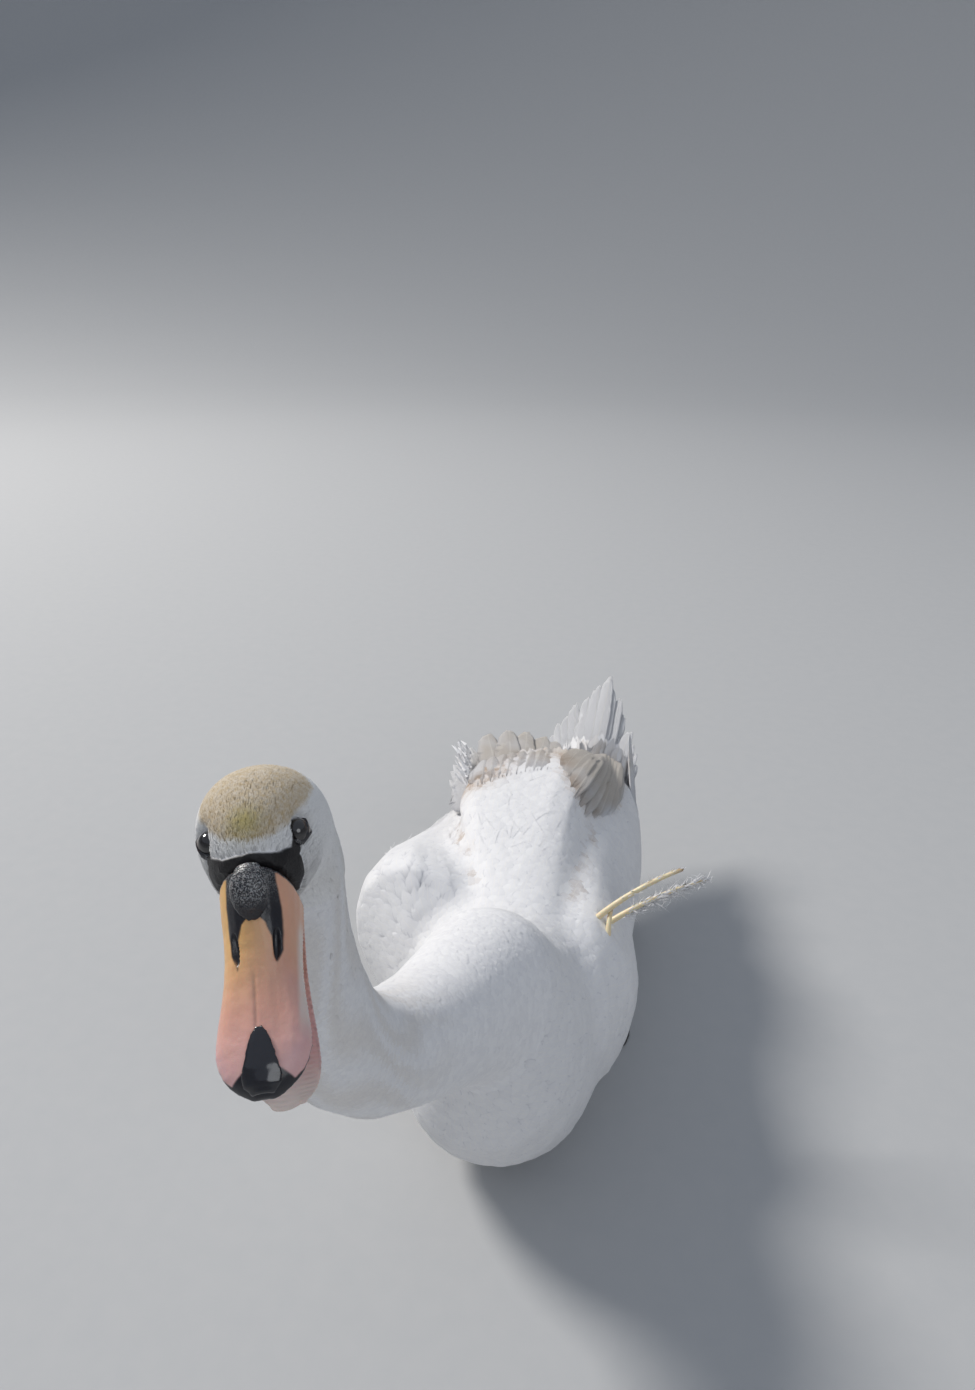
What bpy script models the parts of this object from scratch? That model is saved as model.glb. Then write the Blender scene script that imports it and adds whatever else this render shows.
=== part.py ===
"""A mute swan at life size, resting on its belly with its feet tucked under and its neck held out.

Units are metres, +Z is up, and the swan faces -Y, so +X is its left side. The origin is the middle
of the flat of the belly. Every solid reaches out to the tips of the plumage.
"""

import math

import bmesh
import bpy
import numpy as np
from mathutils import Matrix, Vector

# ---- Driving dimensions -------------------------------------------------------------------------
GAP = 0.0004  # between two pieces that meet
CLEARANCE = 0.0030  # from the true surface of the trunk to a piece that lies on it
AROUND = 28  # points round each section of the body
SAMPLES = 2  # rings from one station of the body to the next
SECTION_POWER = 2.15  # 2 is an ellipse, and more is boxier
SHARP_ANGLE = math.radians(45)
SWELL_TURN = 400  # degrees round the body that a cutter's margin takes, for each metre that it swells

# The body is one loft from the root of the tail to the base of the bill. A station gives the point
# on the back and the point on the belly, each as (forward, height), then the half width and how far
# the station lies to the swan's right.
STATIONS = {
    "tail_root": ((-0.340, 0.209), (-0.337, 0.164), 0.0325, 0.000),
    "rump": ((-0.270, 0.229), (-0.270, 0.092), 0.0720, 0.000),
    "hind_body": ((-0.171, 0.252), (-0.171, 0.015), 0.0955, 0.007),
    "mid_body": ((-0.045, 0.263), (-0.045, -0.011), 0.1060, 0.014),
    "fore_body": ((0.072, 0.265), (0.077, -0.011), 0.1115, 0.012),
    "shoulder": ((0.130, 0.273), (0.216, 0.027), 0.1045, 0.011),
    "breast": ((0.160, 0.293), (0.284, 0.117), 0.0845, 0.008),
    "neck_root": ((0.196, 0.326), (0.299, 0.212), 0.0620, 0.010),
    "neck_low": ((0.308, 0.345), (0.348, 0.244), 0.0505, 0.028),
    "neck_high": ((0.378, 0.3715), (0.438, 0.3035), 0.0425, 0.0505),
    "neck_rise": ((0.426, 0.4295), (0.498, 0.3895), 0.0395, 0.0584),
    "neck_top": ((0.450, 0.5015), (0.525, 0.4815), 0.0370, 0.0614),
}

# The head has its own frame, with its origin midway between the eyes. A station there gives the
# point on the crown and the point on the throat, each as (forward, up), and the half width.
EYES_MIDDLE = Vector((-0.0424, -0.549, 0.6115))
HEAD_TURN = math.radians(23.8)  # to the swan's left
HEAD_DROP = math.radians(22.0)
HEAD_ROLL = math.radians(6.0)  # left side up
HEAD_STATIONS = {
    "neck_join": ((-0.062, -0.086), (0.001, -0.066), 0.0350),
    "nape": ((-0.063, -0.052), (0.001, -0.053), 0.0345),
    "occiput": ((-0.056, -0.016), (0.002, -0.050), 0.0352),
    "hind_crown": ((-0.041, 0.0112), (0.004, -0.047), 0.0357),
    "crown": ((-0.019, 0.0248), (0.007, -0.044), 0.0338),
    "eyes": ((0.004, 0.0270), (0.010, -0.0410), 0.0292),
    "face": ((0.018, 0.0230), (0.015, -0.0390), 0.0248),
    "bill_base": ((0.028, 0.0190), (0.019, -0.0370), 0.0204),
}
EYE_RADIUS = 0.0068
EYE_PLACE = (0.0218, 0.004, 0.0080)  # sideways, forward and up in the head's frame

# The upper bill: forward, height of the ridge, height of the cutting edge, half width, boxiness
BILL = (
    (0.0290, 0.0185, -0.0215, 0.0198, 2.4),
    (0.0380, 0.0125, -0.0230, 0.0196, 2.3),
    (0.0480, 0.0050, -0.0240, 0.0190, 2.1),
    (0.0600, -0.0030, -0.0250, 0.0188, 2.1),
    (0.0730, -0.0095, -0.0260, 0.0196, 2.2),
    (0.0870, -0.0145, -0.0270, 0.0214, 2.3),
    (0.0995, -0.0180, -0.0285, 0.0222, 2.3),
    (0.1095, -0.0215, -0.0300, 0.0186, 2.2),
    (0.1160, -0.0250, -0.0315, 0.0118, 2.1),
    (0.1195, -0.0285, -0.0325, 0.0050, 2.0),
)
# The lower bill while shut: forward, height of its edge, height of its underside, half width
LOWER_BILL = (
    (0.0235, -0.0236, -0.0365, 0.0172),
    (0.0400, -0.0246, -0.0355, 0.0165),
    (0.0600, -0.0262, -0.0350, 0.0160),
    (0.0800, -0.0280, -0.0352, 0.0174),
    (0.0990, -0.0296, -0.0362, 0.0182),
    (0.1115, -0.0316, -0.0368, 0.0144),
    (0.1185, -0.0330, -0.0368, 0.0080),
)
GAPE = math.radians(21.0)
JAW_ASIDE = math.radians(1.5)  # the lower bill is pushed a little to the left
JAW_HINGE = (0.004, -0.026)
PALATE_DEPTH = 0.0030
KNOB_FROM, KNOB_TO, KNOB_HEIGHT = 0.0295, 0.0500, 0.0085
NAIL_FROM, NAIL_TO, NAIL_THICK = 0.0925, 0.1188, 0.0016
KNOB_OUTLINE = (0.0024, 0.0045, 0.0057, 0.0062, 0.0063, 0.0062, 0.0058, 0.0046, 0.0020)  # half widths
NAIL_OUTLINE = (0.0013, 0.0035, 0.0049, 0.0059, 0.0068, 0.0078, 0.0086, 0.0080, 0.0042)
TONGUE = ((0.040, 0.0085), (0.060, 0.0095), (0.080, 0.0100), (0.094, 0.0080), (0.101, 0.0035))
TONGUE_THICK = 0.0034

TAIL_ROOT, TAIL_TIP = (-0.342, 0.187), (-0.4905, 0.281)  # forward, height
TAIL_HALF_WIDTH = 0.065

PRIMARIES = {  # root and tip
    "primaries_left": ((0.079, 0.2718, 0.188), (0.048, 0.385, 0.233)),
    "primaries_right": ((-0.104, 0.2718, 0.176), (-0.081, 0.371, 0.211)),
}

FOOT = (  # forward, half width, height of the middle toe, aside: from the shank to the toes' ends
    (-0.1650, 0.0085, 0.0150, 0.0770),
    (-0.1500, 0.0095, 0.0120, 0.0775),
    (-0.1350, 0.0130, 0.0110, 0.0790),
    (-0.1000, 0.0195, 0.0095, 0.0840),
    (-0.0600, 0.0240, 0.0085, 0.0895),
    (-0.0270, 0.0250, 0.0080, 0.0935),
    (-0.0110, 0.0205, 0.0070, 0.0955),
    (-0.0020, 0.0110, 0.0060, 0.0965),
)
FEET_MIDDLE = -0.011
SHANK = (  # forward, height, radius, aside: from the foot back to the ankle, then up into the flank
    (-0.1654, 0.0115, 0.0095, 0.0770),
    (-0.2000, 0.0115, 0.0080, 0.0765),
    (-0.2300, 0.0120, 0.0085, 0.0755),
    (-0.2440, 0.0165, 0.0100, 0.0750),
    (-0.2200, 0.0400, 0.0110, 0.0730),
    (-0.1900, 0.0900, 0.0140, 0.0680),
)

QUILLS = {  # how far forward the root is, its angle round the wing, its height off it, tip, radius
    "quill_upper": (0.086, 50, 0.014, (0.1610, -0.0450, 0.3020), 0.0020),
    "quill_lower": (0.074, 44, 0.015, (0.1865, -0.0340, 0.2860), 0.0020),
    "quill_stub": (0.100, 40, 0.015, (0.0865, -0.0700, 0.2520), 0.0017),
}


# ---- Curves and frames --------------------------------------------------------------------------
def through(rows, samples):
    """A smooth run of rows through the given ones, with a row at every one of them: Catmull-Rom."""
    rows = np.array(rows, float)
    ends = np.vstack([2 * rows[0] - rows[1], rows, 2 * rows[-1] - rows[-2]])
    found = []
    for k in range(len(rows) - 1):
        before, start, end, after = ends[k : k + 4]
        for u in np.arange(samples) / samples:
            bend = 2 * before - 5 * start + 4 * end - after
            turn = 3 * start - before - 3 * end + after
            found.append(0.5 * (2 * start + (end - before) * u + bend * u**2 + turn * u**3))
    return np.array([*found, rows[-1]])


def head_frame():
    """The head's matrix: its X is the swan's left, its -Y points out of the bill, its Z to the crown."""
    turn = Matrix.Rotation(HEAD_TURN, 4, "Z")
    drop = Matrix.Rotation(HEAD_DROP, 4, "X")
    roll = Matrix.Rotation(-HEAD_ROLL, 4, "Y")
    return Matrix.Translation(EYES_MIDDLE) @ turn @ drop @ roll


HEAD = head_frame()


def in_head(side, forward, up):
    """A point of the head's own frame, in the swan's frame."""
    return HEAD @ Vector((side, -forward, up))


def in_jaw(side, forward, up):
    """A point of the lower bill while shut, after the bill has opened by the gape."""
    f, z = forward - JAW_HINGE[0], up - JAW_HINGE[1]
    c, s = math.cos(GAPE), math.sin(GAPE)
    aside = side + f * math.sin(JAW_ASIDE)
    return in_head(aside, JAW_HINGE[0] + f * c + z * s, JAW_HINGE[1] - f * s + z * c)


def eased(x):
    """0 below 0 and 1 above 1, with a smooth rise between."""
    x = min(max(x, 0.0), 1.0)
    return x * x * (3 - 2 * x)


def body_rows():
    """Every station as one row: the back, the belly, the way to the swan's left, the half width."""
    rows = []
    for (back_f, back_z), (belly_f, belly_z), half, right in STATIONS.values():
        rows.append([-right, -back_f, back_z, -right, -belly_f, belly_z, 1, 0, 0, half])
    left = HEAD.to_3x3() @ Vector((1, 0, 0))
    for crown, throat, half in HEAD_STATIONS.values():
        rows.append([*in_head(0, *crown), *in_head(0, *throat), *left, half])
    return through(rows, SAMPLES)


def ring(row):
    """The points of one section, from the left side over the back to the right side and the belly."""
    back, belly, left, half = row[0:3], row[3:6], row[6:9], row[9]
    middle, reach = (back + belly) / 2, (back - belly) / 2
    up = reach / np.linalg.norm(reach)
    left = left - up * (left @ up)
    left /= np.linalg.norm(left)
    points = []
    for a in 2 * math.pi * np.arange(AROUND) / AROUND:
        c, s = math.cos(a), math.sin(a)
        c = math.copysign(abs(c) ** (2 / SECTION_POWER), c)
        s = math.copysign(abs(s) ** (2 / SECTION_POWER), s)
        point = middle + left * half * c + reach * s
        point[2] = max(point[2], 0.0)
        points.append(point)
    return np.array(points)


RINGS = np.array([ring(row) for row in body_rows()])
PLACE = {name: k * SAMPLES for k, name in enumerate([*STATIONS, *HEAD_STATIONS])}


def row_at(forward):
    """The place along the body's rings whose middle lies this far forward, on the trunk."""
    middles = -RINGS[: PLACE["neck_root"] + 1, :, 1].mean(axis=1)
    return float(np.interp(forward, middles, np.arange(len(middles))))


def on_body(row, degrees, out):
    """A point this far out of the body: 0 degrees is the left side, 90 the back, 180 the right."""

    def at(r, d):
        r = min(max(r, 0.0), len(RINGS) - 1.001)
        k = (d % 360) / 360 * AROUND
        i, j = int(r), int(k) % AROUND
        u, v, n = r - int(r), k - int(k), (int(k) + 1) % AROUND
        near = RINGS[i, j] * (1 - v) + RINGS[i, n] * v
        far = RINGS[i + 1, j] * (1 - v) + RINGS[i + 1, n] * v
        return near * (1 - u) + far * u

    along = at(row + 0.7, degrees) - at(row - 0.7, degrees)
    across = at(row, degrees + 8) - at(row, degrees - 8)
    normal = np.cross(across, along)
    return Vector(at(row, degrees) + out * normal / np.linalg.norm(normal))


# ---- Making objects -----------------------------------------------------------------------------
def clear_scene():
    for obj in list(bpy.data.objects):
        bpy.data.objects.remove(obj, do_unlink=True)


def collection(name):
    made = bpy.data.collections.new(name)
    bpy.context.scene.collection.children.link(made)
    return made


def material(name, colour, roughness):
    made = bpy.data.materials.new(name)
    made.use_nodes = True
    shader = made.node_tree.nodes["Principled BSDF"]
    shader.inputs["Base Color"].default_value = (*colour, 1)
    shader.inputs["Roughness"].default_value = roughness
    return made


def mesh_object(name, bm, group, finish=None):
    """An object from a bmesh, with its faces turned outwards and its round parts shaded smooth."""
    bmesh.ops.recalc_face_normals(bm, faces=bm.faces)
    mesh = bpy.data.meshes.new(name)
    bm.to_mesh(mesh)
    bm.free()
    mesh.shade_smooth()
    mesh.set_sharp_from_angle(angle=SHARP_ANGLE)
    if finish:
        mesh.materials.append(finish)
    obj = bpy.data.objects.new(name, mesh)
    group.objects.link(obj)
    return obj


def loft(name, rings, group, finish):
    """A closed solid through rings of points, which all have the same count."""
    bm = bmesh.new()
    rows = [[bm.verts.new(p) for p in points] for points in rings]
    count = len(rows[0])
    for near, far in zip(rows, rows[1:]):
        for k in range(count):
            n = (k + 1) % count
            bm.faces.new((near[k], near[n], far[n], far[k]))
    bm.faces.new(rows[0])
    bm.faces.new(rows[-1])
    return mesh_object(name, bm, group, finish)


def plate(name, under, over, along, across, group, finish):
    """A closed solid between two surfaces, each a function of u and v from 0 to 1."""
    bm = bmesh.new()
    sides = []
    for surface in (under, over):
        grid = [
            [bm.verts.new(surface(i / along, j / across)) for j in range(across + 1)]
            for i in range(along + 1)
        ]
        for i in range(along):
            for j in range(across):
                bm.faces.new((grid[i][j], grid[i + 1][j], grid[i + 1][j + 1], grid[i][j + 1]))
        border = [grid[i][0] for i in range(along)] + [grid[along][j] for j in range(across)]
        border += [grid[i][across] for i in range(along, 0, -1)]
        border += [grid[0][j] for j in range(across, 0, -1)]
        sides.append(border)
    for k in range(len(sides[0])):
        n = (k + 1) % len(sides[0])
        bm.faces.new((sides[0][k], sides[0][n], sides[1][n], sides[1][k]))
    return mesh_object(name, bm, group, finish)


def ball(name, centre, radius, group, finish=None):
    bm = bmesh.new()
    bmesh.ops.create_uvsphere(bm, u_segments=16, v_segments=10, radius=radius)
    bmesh.ops.translate(bm, verts=bm.verts, vec=centre)
    return mesh_object(name, bm, group, finish)


def cut(target, cutter):
    modifier = target.modifiers.new("cut_by_" + cutter.name, "BOOLEAN")
    modifier.operation, modifier.solver, modifier.object = "DIFFERENCE", "EXACT", cutter


def swollen(rings):
    """The rings with every point moved out by the gap, for cutting what runs into the body."""
    middles = rings.mean(axis=1, keepdims=True)
    outward = rings - middles
    return rings + outward / np.linalg.norm(outward, axis=2, keepdims=True) * GAP


# ---- Pieces of the swan -------------------------------------------------------------------------
def flesh(group, finish):
    """The trunk, the lengths of the neck and the head, one after the other with a gap between."""
    lengths = {
        "trunk": ("tail_root", "neck_root"),
        "neck_lower": ("neck_root", "neck_low"),
        "neck_middle": ("neck_low", "neck_rise"),
        "neck_upper": ("neck_rise", "neck_join"),
        "head": ("neck_join", "bill_base"),
    }
    made = {}
    for name, (start, end) in lengths.items():
        rings = RINGS[PLACE[start] : PLACE[end] + 1].copy()
        if name != "trunk":
            step = rings[1].mean(axis=0) - rings[0].mean(axis=0)
            rings[0] += step / np.linalg.norm(step) * GAP
        made[name] = loft(name, rings, group, finish)
    return made


def wing(name, side, group, finish, swell=0.0):
    """A folded wing: a cushion of feathers on the flank. The right one is held well out and up."""
    loose, margin = side < 0, SWELL_TURN * swell

    def place(u, v):
        forward = 0.166 - (0.436 + swell) * u
        rounded = max(0.0, 0.16 - u) / 0.16
        low = -24 + 26 * rounded**2 + 34 * max(0.0, u - 0.45) ** 1.5
        high = (crease(forward) - 0.8 if loose else 61) - 26 * rounded**2
        return row_at(forward), low + (high - low) * v + margin * (2 * v - 1)

    def lift(u, v):
        arched = math.sin(math.pi * v ** (1.6 if loose else 1.25)) ** 0.75
        rise = 0.088 - 0.032 * eased((u - 0.30) / 0.5) if loose else 0.022 - 0.018 * eased((u - 0.15) / 0.35)
        shape = eased((u + 0.02) / 0.2) * (1 - 0.5 * eased((u - 0.75) / 0.25))
        shelf = (0.027 if loose else 0.004) * eased(u / 0.25) * eased((v - 0.2) / 0.6)
        return 0.003 + (rise - shelf) * arched * shape + shelf + swell

    def surface(out):
        def point(u, v):
            row, degrees = place(u, v)
            return on_body(row, degrees if side > 0 else 180 - degrees, CLEARANCE + out(u, v))

        return point

    return plate(name, surface(lambda u, v: 0.0), surface(lift), 14, 9, group, finish)


def crease(forward):
    """The angle up from the right side at which the right wing meets the mantle."""
    return 61.8 - 22 * eased((0.108 - forward) / 0.207)


def arch(degrees):
    """How far forward the rear edge of the mantle is, which ends sooner on the right."""
    return -0.191 + 0.0765 * eased((degrees - 88) / 50)


def mantle_rise(degrees):
    """How far the mantle stands off the back at its rear edge."""
    return 0.0415 + 0.020 * eased((degrees - 95) / 40) - 0.0235 * eased((85 - degrees) / 22)


def mantle(group, finish):
    """The shoulder feathers on the back, which end behind in a raised arch."""

    def place(u, v):
        forward = 0.108 + (arch(62.5 + 77 * v) - 0.108) * u
        rounded = 6 * (1 - eased(u / 0.3))
        low, high = 62.5 + rounded, 180 - crease(forward) - 0.8 - rounded
        return forward, low + (high - low) * v

    def surface(raised):
        def point(u, v):
            forward, degrees = place(u, v)
            rise = mantle_rise(degrees) * eased((u + 0.15) / 1.15) * (1 - abs(2 * v - 1) ** 5)
            rise += 0.016 * eased(u) * eased((v - 0.5) * 2)
            lift = 0.003 + rise * eased(u / 0.2) if raised else 0.0
            return on_body(row_at(forward), degrees, CLEARANCE + lift)

        return point

    return plate("mantle", surface(False), surface(True), 11, 9, group, finish)


def tertials(group, finish):
    """The long inner wing feathers that lie over the rump, behind the mantle."""

    def surface(raised):
        def point(u, v):
            degrees = 62.5 + 77.5 * v
            front, rear = arch(degrees) - 0.0055, -0.315 + 0.027 * (2 * v - 1) ** 2
            lift = 0.004 + 0.018 * (1 - u) ** 0.7 * math.sin(math.pi * v) ** 0.5 if raised else 0.0
            return on_body(row_at(front + (rear - front) * u), degrees, CLEARANCE + lift)

        return point

    return plate("tertials", surface(False), surface(True), 7, 10, group, finish)


def fan(group, finish):
    """The ragged feathers that stand up and back from the right end of the arch."""
    teeth = 12
    places = (0.0, 0.15, 0.35, 0.60, 0.85, 1.0)
    lengths = (0.042, 0.068, 0.066, 0.055, 0.041, 0.027)
    lifts = (0.018, 0.030, 0.030, 0.020, 0.011, 0.006)

    def surface(sign):
        def point(u, v):
            degrees = 138 - 38 * v
            root = arch(degrees) - 0.0055
            length = (float(np.interp(v, places, lengths)) - 0.011 * (round(v * teeth) % 2)) * u
            lift = float(np.interp(v, places, lifts))
            out = CLEARANCE + mantle_rise(degrees) + 0.004 + lift * u
            splay = 6 * u * (1 - v) ** 2
            return on_body(row_at(root - length), degrees + splay, out + sign * (0.0028 - 0.0018 * u))

        return point

    return plate("wing_fan_right", surface(-1), surface(1), 5, teeth, group, finish)


def primaries(name, root, tip, group, finish):
    """The tips of the long flight feathers of one wing, beside the root of the tail."""
    root, tip = Vector(root), Vector(tip)
    side = math.copysign(1, root.x)

    def surface(sign):
        def point(u, v):
            leaning = Vector((side * 0.45, 0, -0.89)) * (0.027 * (1 - u) ** 0.6 + 0.004) * (2 * v - 1)
            outward = Vector((side * 0.89, 0.15, 0.45)) * sign * (0.0030 - 0.0018 * u)
            return root.lerp(tip, u) + leaning + outward

        return point

    return plate(name, surface(-1), surface(1), 5, 4, group, finish)


def tail(group, finish):
    """The stiff pointed wedge of the tail, which lifts behind the body."""

    def surface(sign):
        def point(u, v):
            f = TAIL_ROOT[0] + (TAIL_TIP[0] - TAIL_ROOT[0]) * u
            z = TAIL_ROOT[1] + (TAIL_TIP[1] - TAIL_ROOT[1]) * u ** 0.92
            side = 2 * v - 1
            fullness, width = (1.7, TAIL_HALF_WIDTH) if side > 0 else (2.0, TAIL_HALF_WIDTH + 0.016)
            half = width * (0.80 + 0.20 * eased(u / 0.22)) * (1 - u**fullness) + 0.0035
            thick = 0.0022 + (0.011 if sign > 0 else 0.009) * (1 - u) ** 1.4 * (1 - side * side)
            crown = -0.0145 * side * side * (1 - u) ** 0.5
            return Vector((half * side, -f, z + crown + sign * thick))

        return point

    return plate("tail", surface(-1), surface(1), 10, 10, group, finish)


def bill_top(forward, side, out=0.0):
    """A point on the top of the upper bill, where side runs from -1 at one edge to 1 at the other."""
    rows = np.array(BILL)
    ridge, edge, half, power = (np.interp(forward, rows[:, 0], rows[:, k]) for k in range(1, 5))
    s = math.copysign(min(abs(side), 1.0), side)
    a = s * math.pi / 2
    x = math.copysign(abs(math.sin(a)) ** (2 / power), s) * (half + out)
    z = edge + abs(math.cos(a)) ** (2 / power) * (ridge - edge + out)
    return x, z


def upper_bill(group, finish):
    rows = through(BILL, 2)
    rings = []
    for forward, ridge, edge, half, power in rows:
        points = []
        for side in np.linspace(1, -1, 15):
            a = side * math.pi / 2
            x = math.copysign(abs(math.sin(a)) ** (2 / power), side) * half
            z = edge + abs(math.cos(a)) ** (2 / power) * (ridge - edge)
            points.append(in_head(x, forward, z))
        for side in np.linspace(-0.84, 0.84, 5):
            hollow = PALATE_DEPTH * (1 - side * side) * min(1.0, (ridge - edge) / 0.012)
            points.append(in_head(side * half, forward, edge + hollow * 0.5))
        rings.append(points)
    return loft("bill_upper", rings, group, finish)


def lower_bill(group, finish):
    rings = []
    for forward, edge, base, half in through(LOWER_BILL, 2):
        points = []
        for a in np.linspace(0, math.pi, 13):
            depth = math.sin(a) ** 0.8 if math.sin(a) > 1e-9 else 0.0
            points.append(in_jaw(half * math.cos(a), forward, edge - (edge - base) * depth))
        for side in np.linspace(-0.86, 0.86, 7):
            points.append(in_jaw(side * half, forward, edge - 0.0022 * (1 - side * side)))
        rings.append(points)
    return loft("bill_lower", rings, group, finish)


def tongue(group, finish):
    rows = np.array(LOWER_BILL)

    def surface(raised):
        def point(u, v):
            shape = np.array(TONGUE)
            forward = shape[0, 0] + (shape[-1, 0] - shape[0, 0]) * u
            half = float(np.interp(forward, shape[:, 0], shape[:, 1]))
            edge = float(np.interp(forward, rows[:, 0], rows[:, 1]))
            side = 2 * v - 1
            up = edge - 0.0006 + (0.0006 + TONGUE_THICK * (1 - side * side) ** 0.5 if raised else 0.0)
            return in_jaw(half * side, forward, up + 0.0004)

        return point

    return plate("tongue", surface(False), surface(True), 8, 6, group, finish)


def on_bill(name, first, last, outline, height, shape, group, finish):
    """A raised piece that lies on the top of the upper bill: its outline is a row of half widths."""

    def surface(raised):
        def point(u, v):
            forward = first + (last - first) * u
            reach = float(np.interp(u, np.linspace(0, 1, len(outline)), outline))
            row = np.array(BILL)
            half = float(np.interp(forward, row[:, 0], row[:, 3]))
            wide = min(reach / half, 0.93)
            power = float(np.interp(forward, row[:, 0], row[:, 4]))
            side = math.asin((wide * abs(2 * v - 1)) ** (power / 2)) * 2 / math.pi
            side = math.copysign(side, 2 * v - 1)
            x, z = bill_top(forward, side, 0.0008)
            middle = bill_top(forward, 0.0, -0.004)
            away = Vector((x - middle[0], z - middle[1])).normalized()
            lift = height * shape(u, v) if raised else 0.0
            return in_head(x + away.x * lift, forward, z + away.y * lift)

        return point

    return plate(name, surface(False), surface(True), 8, 8, group, finish)


def domed(u, v):
    """The height of the knob over its outline, from 0 to 1."""
    return math.sqrt(max(0.0, 1 - (2 * u - 1) ** 2)) * max(0.0, 1 - (2 * v - 1) ** 2) ** 0.6 + 0.06


def flat(u, v):
    """The height of the nail over its outline, from 0 to 1."""
    return 0.45 + 0.55 * (1 - (2 * v - 1) ** 4) * eased(u / 0.2)


def eyes(group, cutters, head, finish):
    side, forward, up = EYE_PLACE
    for name, sign in (("eye_left", 1), ("eye_right", -1)):
        centre = in_head(sign * side, forward, up)
        ball(name, centre, EYE_RADIUS, group, finish)
        cut(head, ball("socket_of_" + name, centre, EYE_RADIUS + GAP, cutters))


def leg(name, side, group, finish):
    """The bare shank that lies along the floor, and the thigh that goes up into the flank."""
    rings = []
    centres = [Vector((FEET_MIDDLE + side * aside, -f, z)) for f, z, _, aside in SHANK]
    radii = [row[2] for row in SHANK]
    for k, (centre, radius) in enumerate(zip(centres, radii)):
        ahead = centres[min(k + 1, len(centres) - 1)] - centres[max(k - 1, 0)]
        ahead = Vector((0, 1, 0)) if k == 0 else ahead.normalized()
        across = Vector((1, 0, 0))
        over = across.cross(ahead).normalized()
        points = []
        for a in 2 * math.pi * np.arange(12) / 12:
            point = centre + across * radius * math.cos(a) + over * radius * math.sin(a)
            point.z = max(point.z, 0.0)
            points.append(point)
        rings.append(points)
    return loft(name, rings, group, finish)


def foot(name, side, group, finish):
    """The webbed foot, folded nearly shut: three toes side by side with the web between them."""
    rings = []
    for forward, half, height, aside in FOOT:
        middle, points = FEET_MIDDLE + side * aside, []
        for v in np.linspace(1, -1, 13):
            toes = 0.62 + 0.38 * math.cos(3 * math.pi * v) if forward > -0.14 else 1.0
            edge = (1 - abs(v) ** 6) * 0.75 + 0.25
            points.append((middle + side * half * v, -forward, max(height * toes * edge, 0.0024)))
        for v in (-0.9, -0.3, 0.3, 0.9):
            points.append((middle + side * half * v, -forward, 0.0))
        rings.append(points)
    return loft(name, rings, group, finish)


def quill(name, root, tip, radius, group, finish):
    """A broken flight feather: little more than its bare shaft."""
    root, tip = Vector(root), Vector(tip)
    along = (tip - root).normalized()
    across = along.cross(Vector((0, 0, 1))).normalized()
    over = across.cross(along)
    rings = []
    for u in (0.0, 0.35, 0.7, 1.0):
        centre = root.lerp(tip, u) + over * 0.006 * math.sin(math.pi * u)
        r = radius * (1 - 0.62 * u)
        angles = 2 * math.pi * np.arange(8) / 8
        rings.append([centre + across * r * math.cos(a) + over * r * math.sin(a) for a in angles])
    return loft(name, rings, group, finish)


def main():
    clear_scene()
    swan, cutters = collection("mute_swan"), collection("cutters")
    cutters.hide_render = True
    white = material("white_plumage", (0.86, 0.85, 0.83), 0.7)
    flight = material("flight_feathers", (0.88, 0.87, 0.85), 0.6)
    pink = material("pink_bill", (0.78, 0.36, 0.24), 0.4)
    black = material("black_horn", (0.02, 0.02, 0.022), 0.3)
    dark_eye = material("dark_eye", (0.015, 0.010, 0.008), 0.05)
    flesh_pink = material("tongue_pink", (0.72, 0.35, 0.30), 0.4)
    grey_skin = material("grey_foot_skin", (0.10, 0.10, 0.11), 0.5)
    shaft = material("cream_quill", (0.80, 0.72, 0.55), 0.45)

    made = flesh(swan, white)
    wing("wing_left", 1, swan, white)
    wing("wing_right", -1, swan, white)
    mantle(swan, white)
    tertials(swan, white)
    fan(swan, flight)
    swollen_left_wing = wing("swollen_left_wing", 1, cutters, None, GAP)
    swollen_right_wing = wing("swollen_right_wing", -1, cutters, None, GAP)
    for name, (root, tip) in PRIMARIES.items():
        feathers = primaries(name, root, tip, swan, flight)
        cut(feathers, swollen_left_wing if root[0] > 0 else swollen_right_wing)
    tail(swan, flight)
    upper_bill(swan, pink)
    lower_bill(swan, pink)
    tongue(swan, flesh_pink)
    on_bill("bill_knob", KNOB_FROM, KNOB_TO, KNOB_OUTLINE, KNOB_HEIGHT, domed, swan, black)
    on_bill("bill_nail", NAIL_FROM, NAIL_TO, NAIL_OUTLINE, NAIL_THICK, flat, swan, black)
    eyes(swan, cutters, made["head"], dark_eye)
    swollen_trunk = loft("swollen_trunk", swollen(RINGS[: PLACE["neck_root"] + 1]), cutters, None)
    for name, side in (("left", 1), ("right", -1)):
        cut(leg("leg_" + name, side, swan, grey_skin), swollen_trunk)
        foot("foot_" + name, side, swan, grey_skin)
    for name, (forward, degrees, out, tip, radius) in QUILLS.items():
        cut(quill(name, on_body(row_at(forward), degrees, out), tip, radius, swan, shaft), swollen_left_wing)
    for obj in cutters.objects:
        obj.hide_render, obj.display_type = True, "WIRE"


main()
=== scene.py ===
# %% [markdown]
# # A mute swan at life size
# The bird rests on its belly with its feet tucked under, and stretches its neck out towards us.
# A museum would dress a carved form with skin and feathers, and this script does the same: the
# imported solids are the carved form, and each step below lays one kind of covering over them.
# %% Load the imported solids
import math

import bmesh
import bpy
import numpy as np
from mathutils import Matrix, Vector, kdtree
from mathutils import noise as cloud
from mathutils.bvhtree import BVHTree


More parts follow.
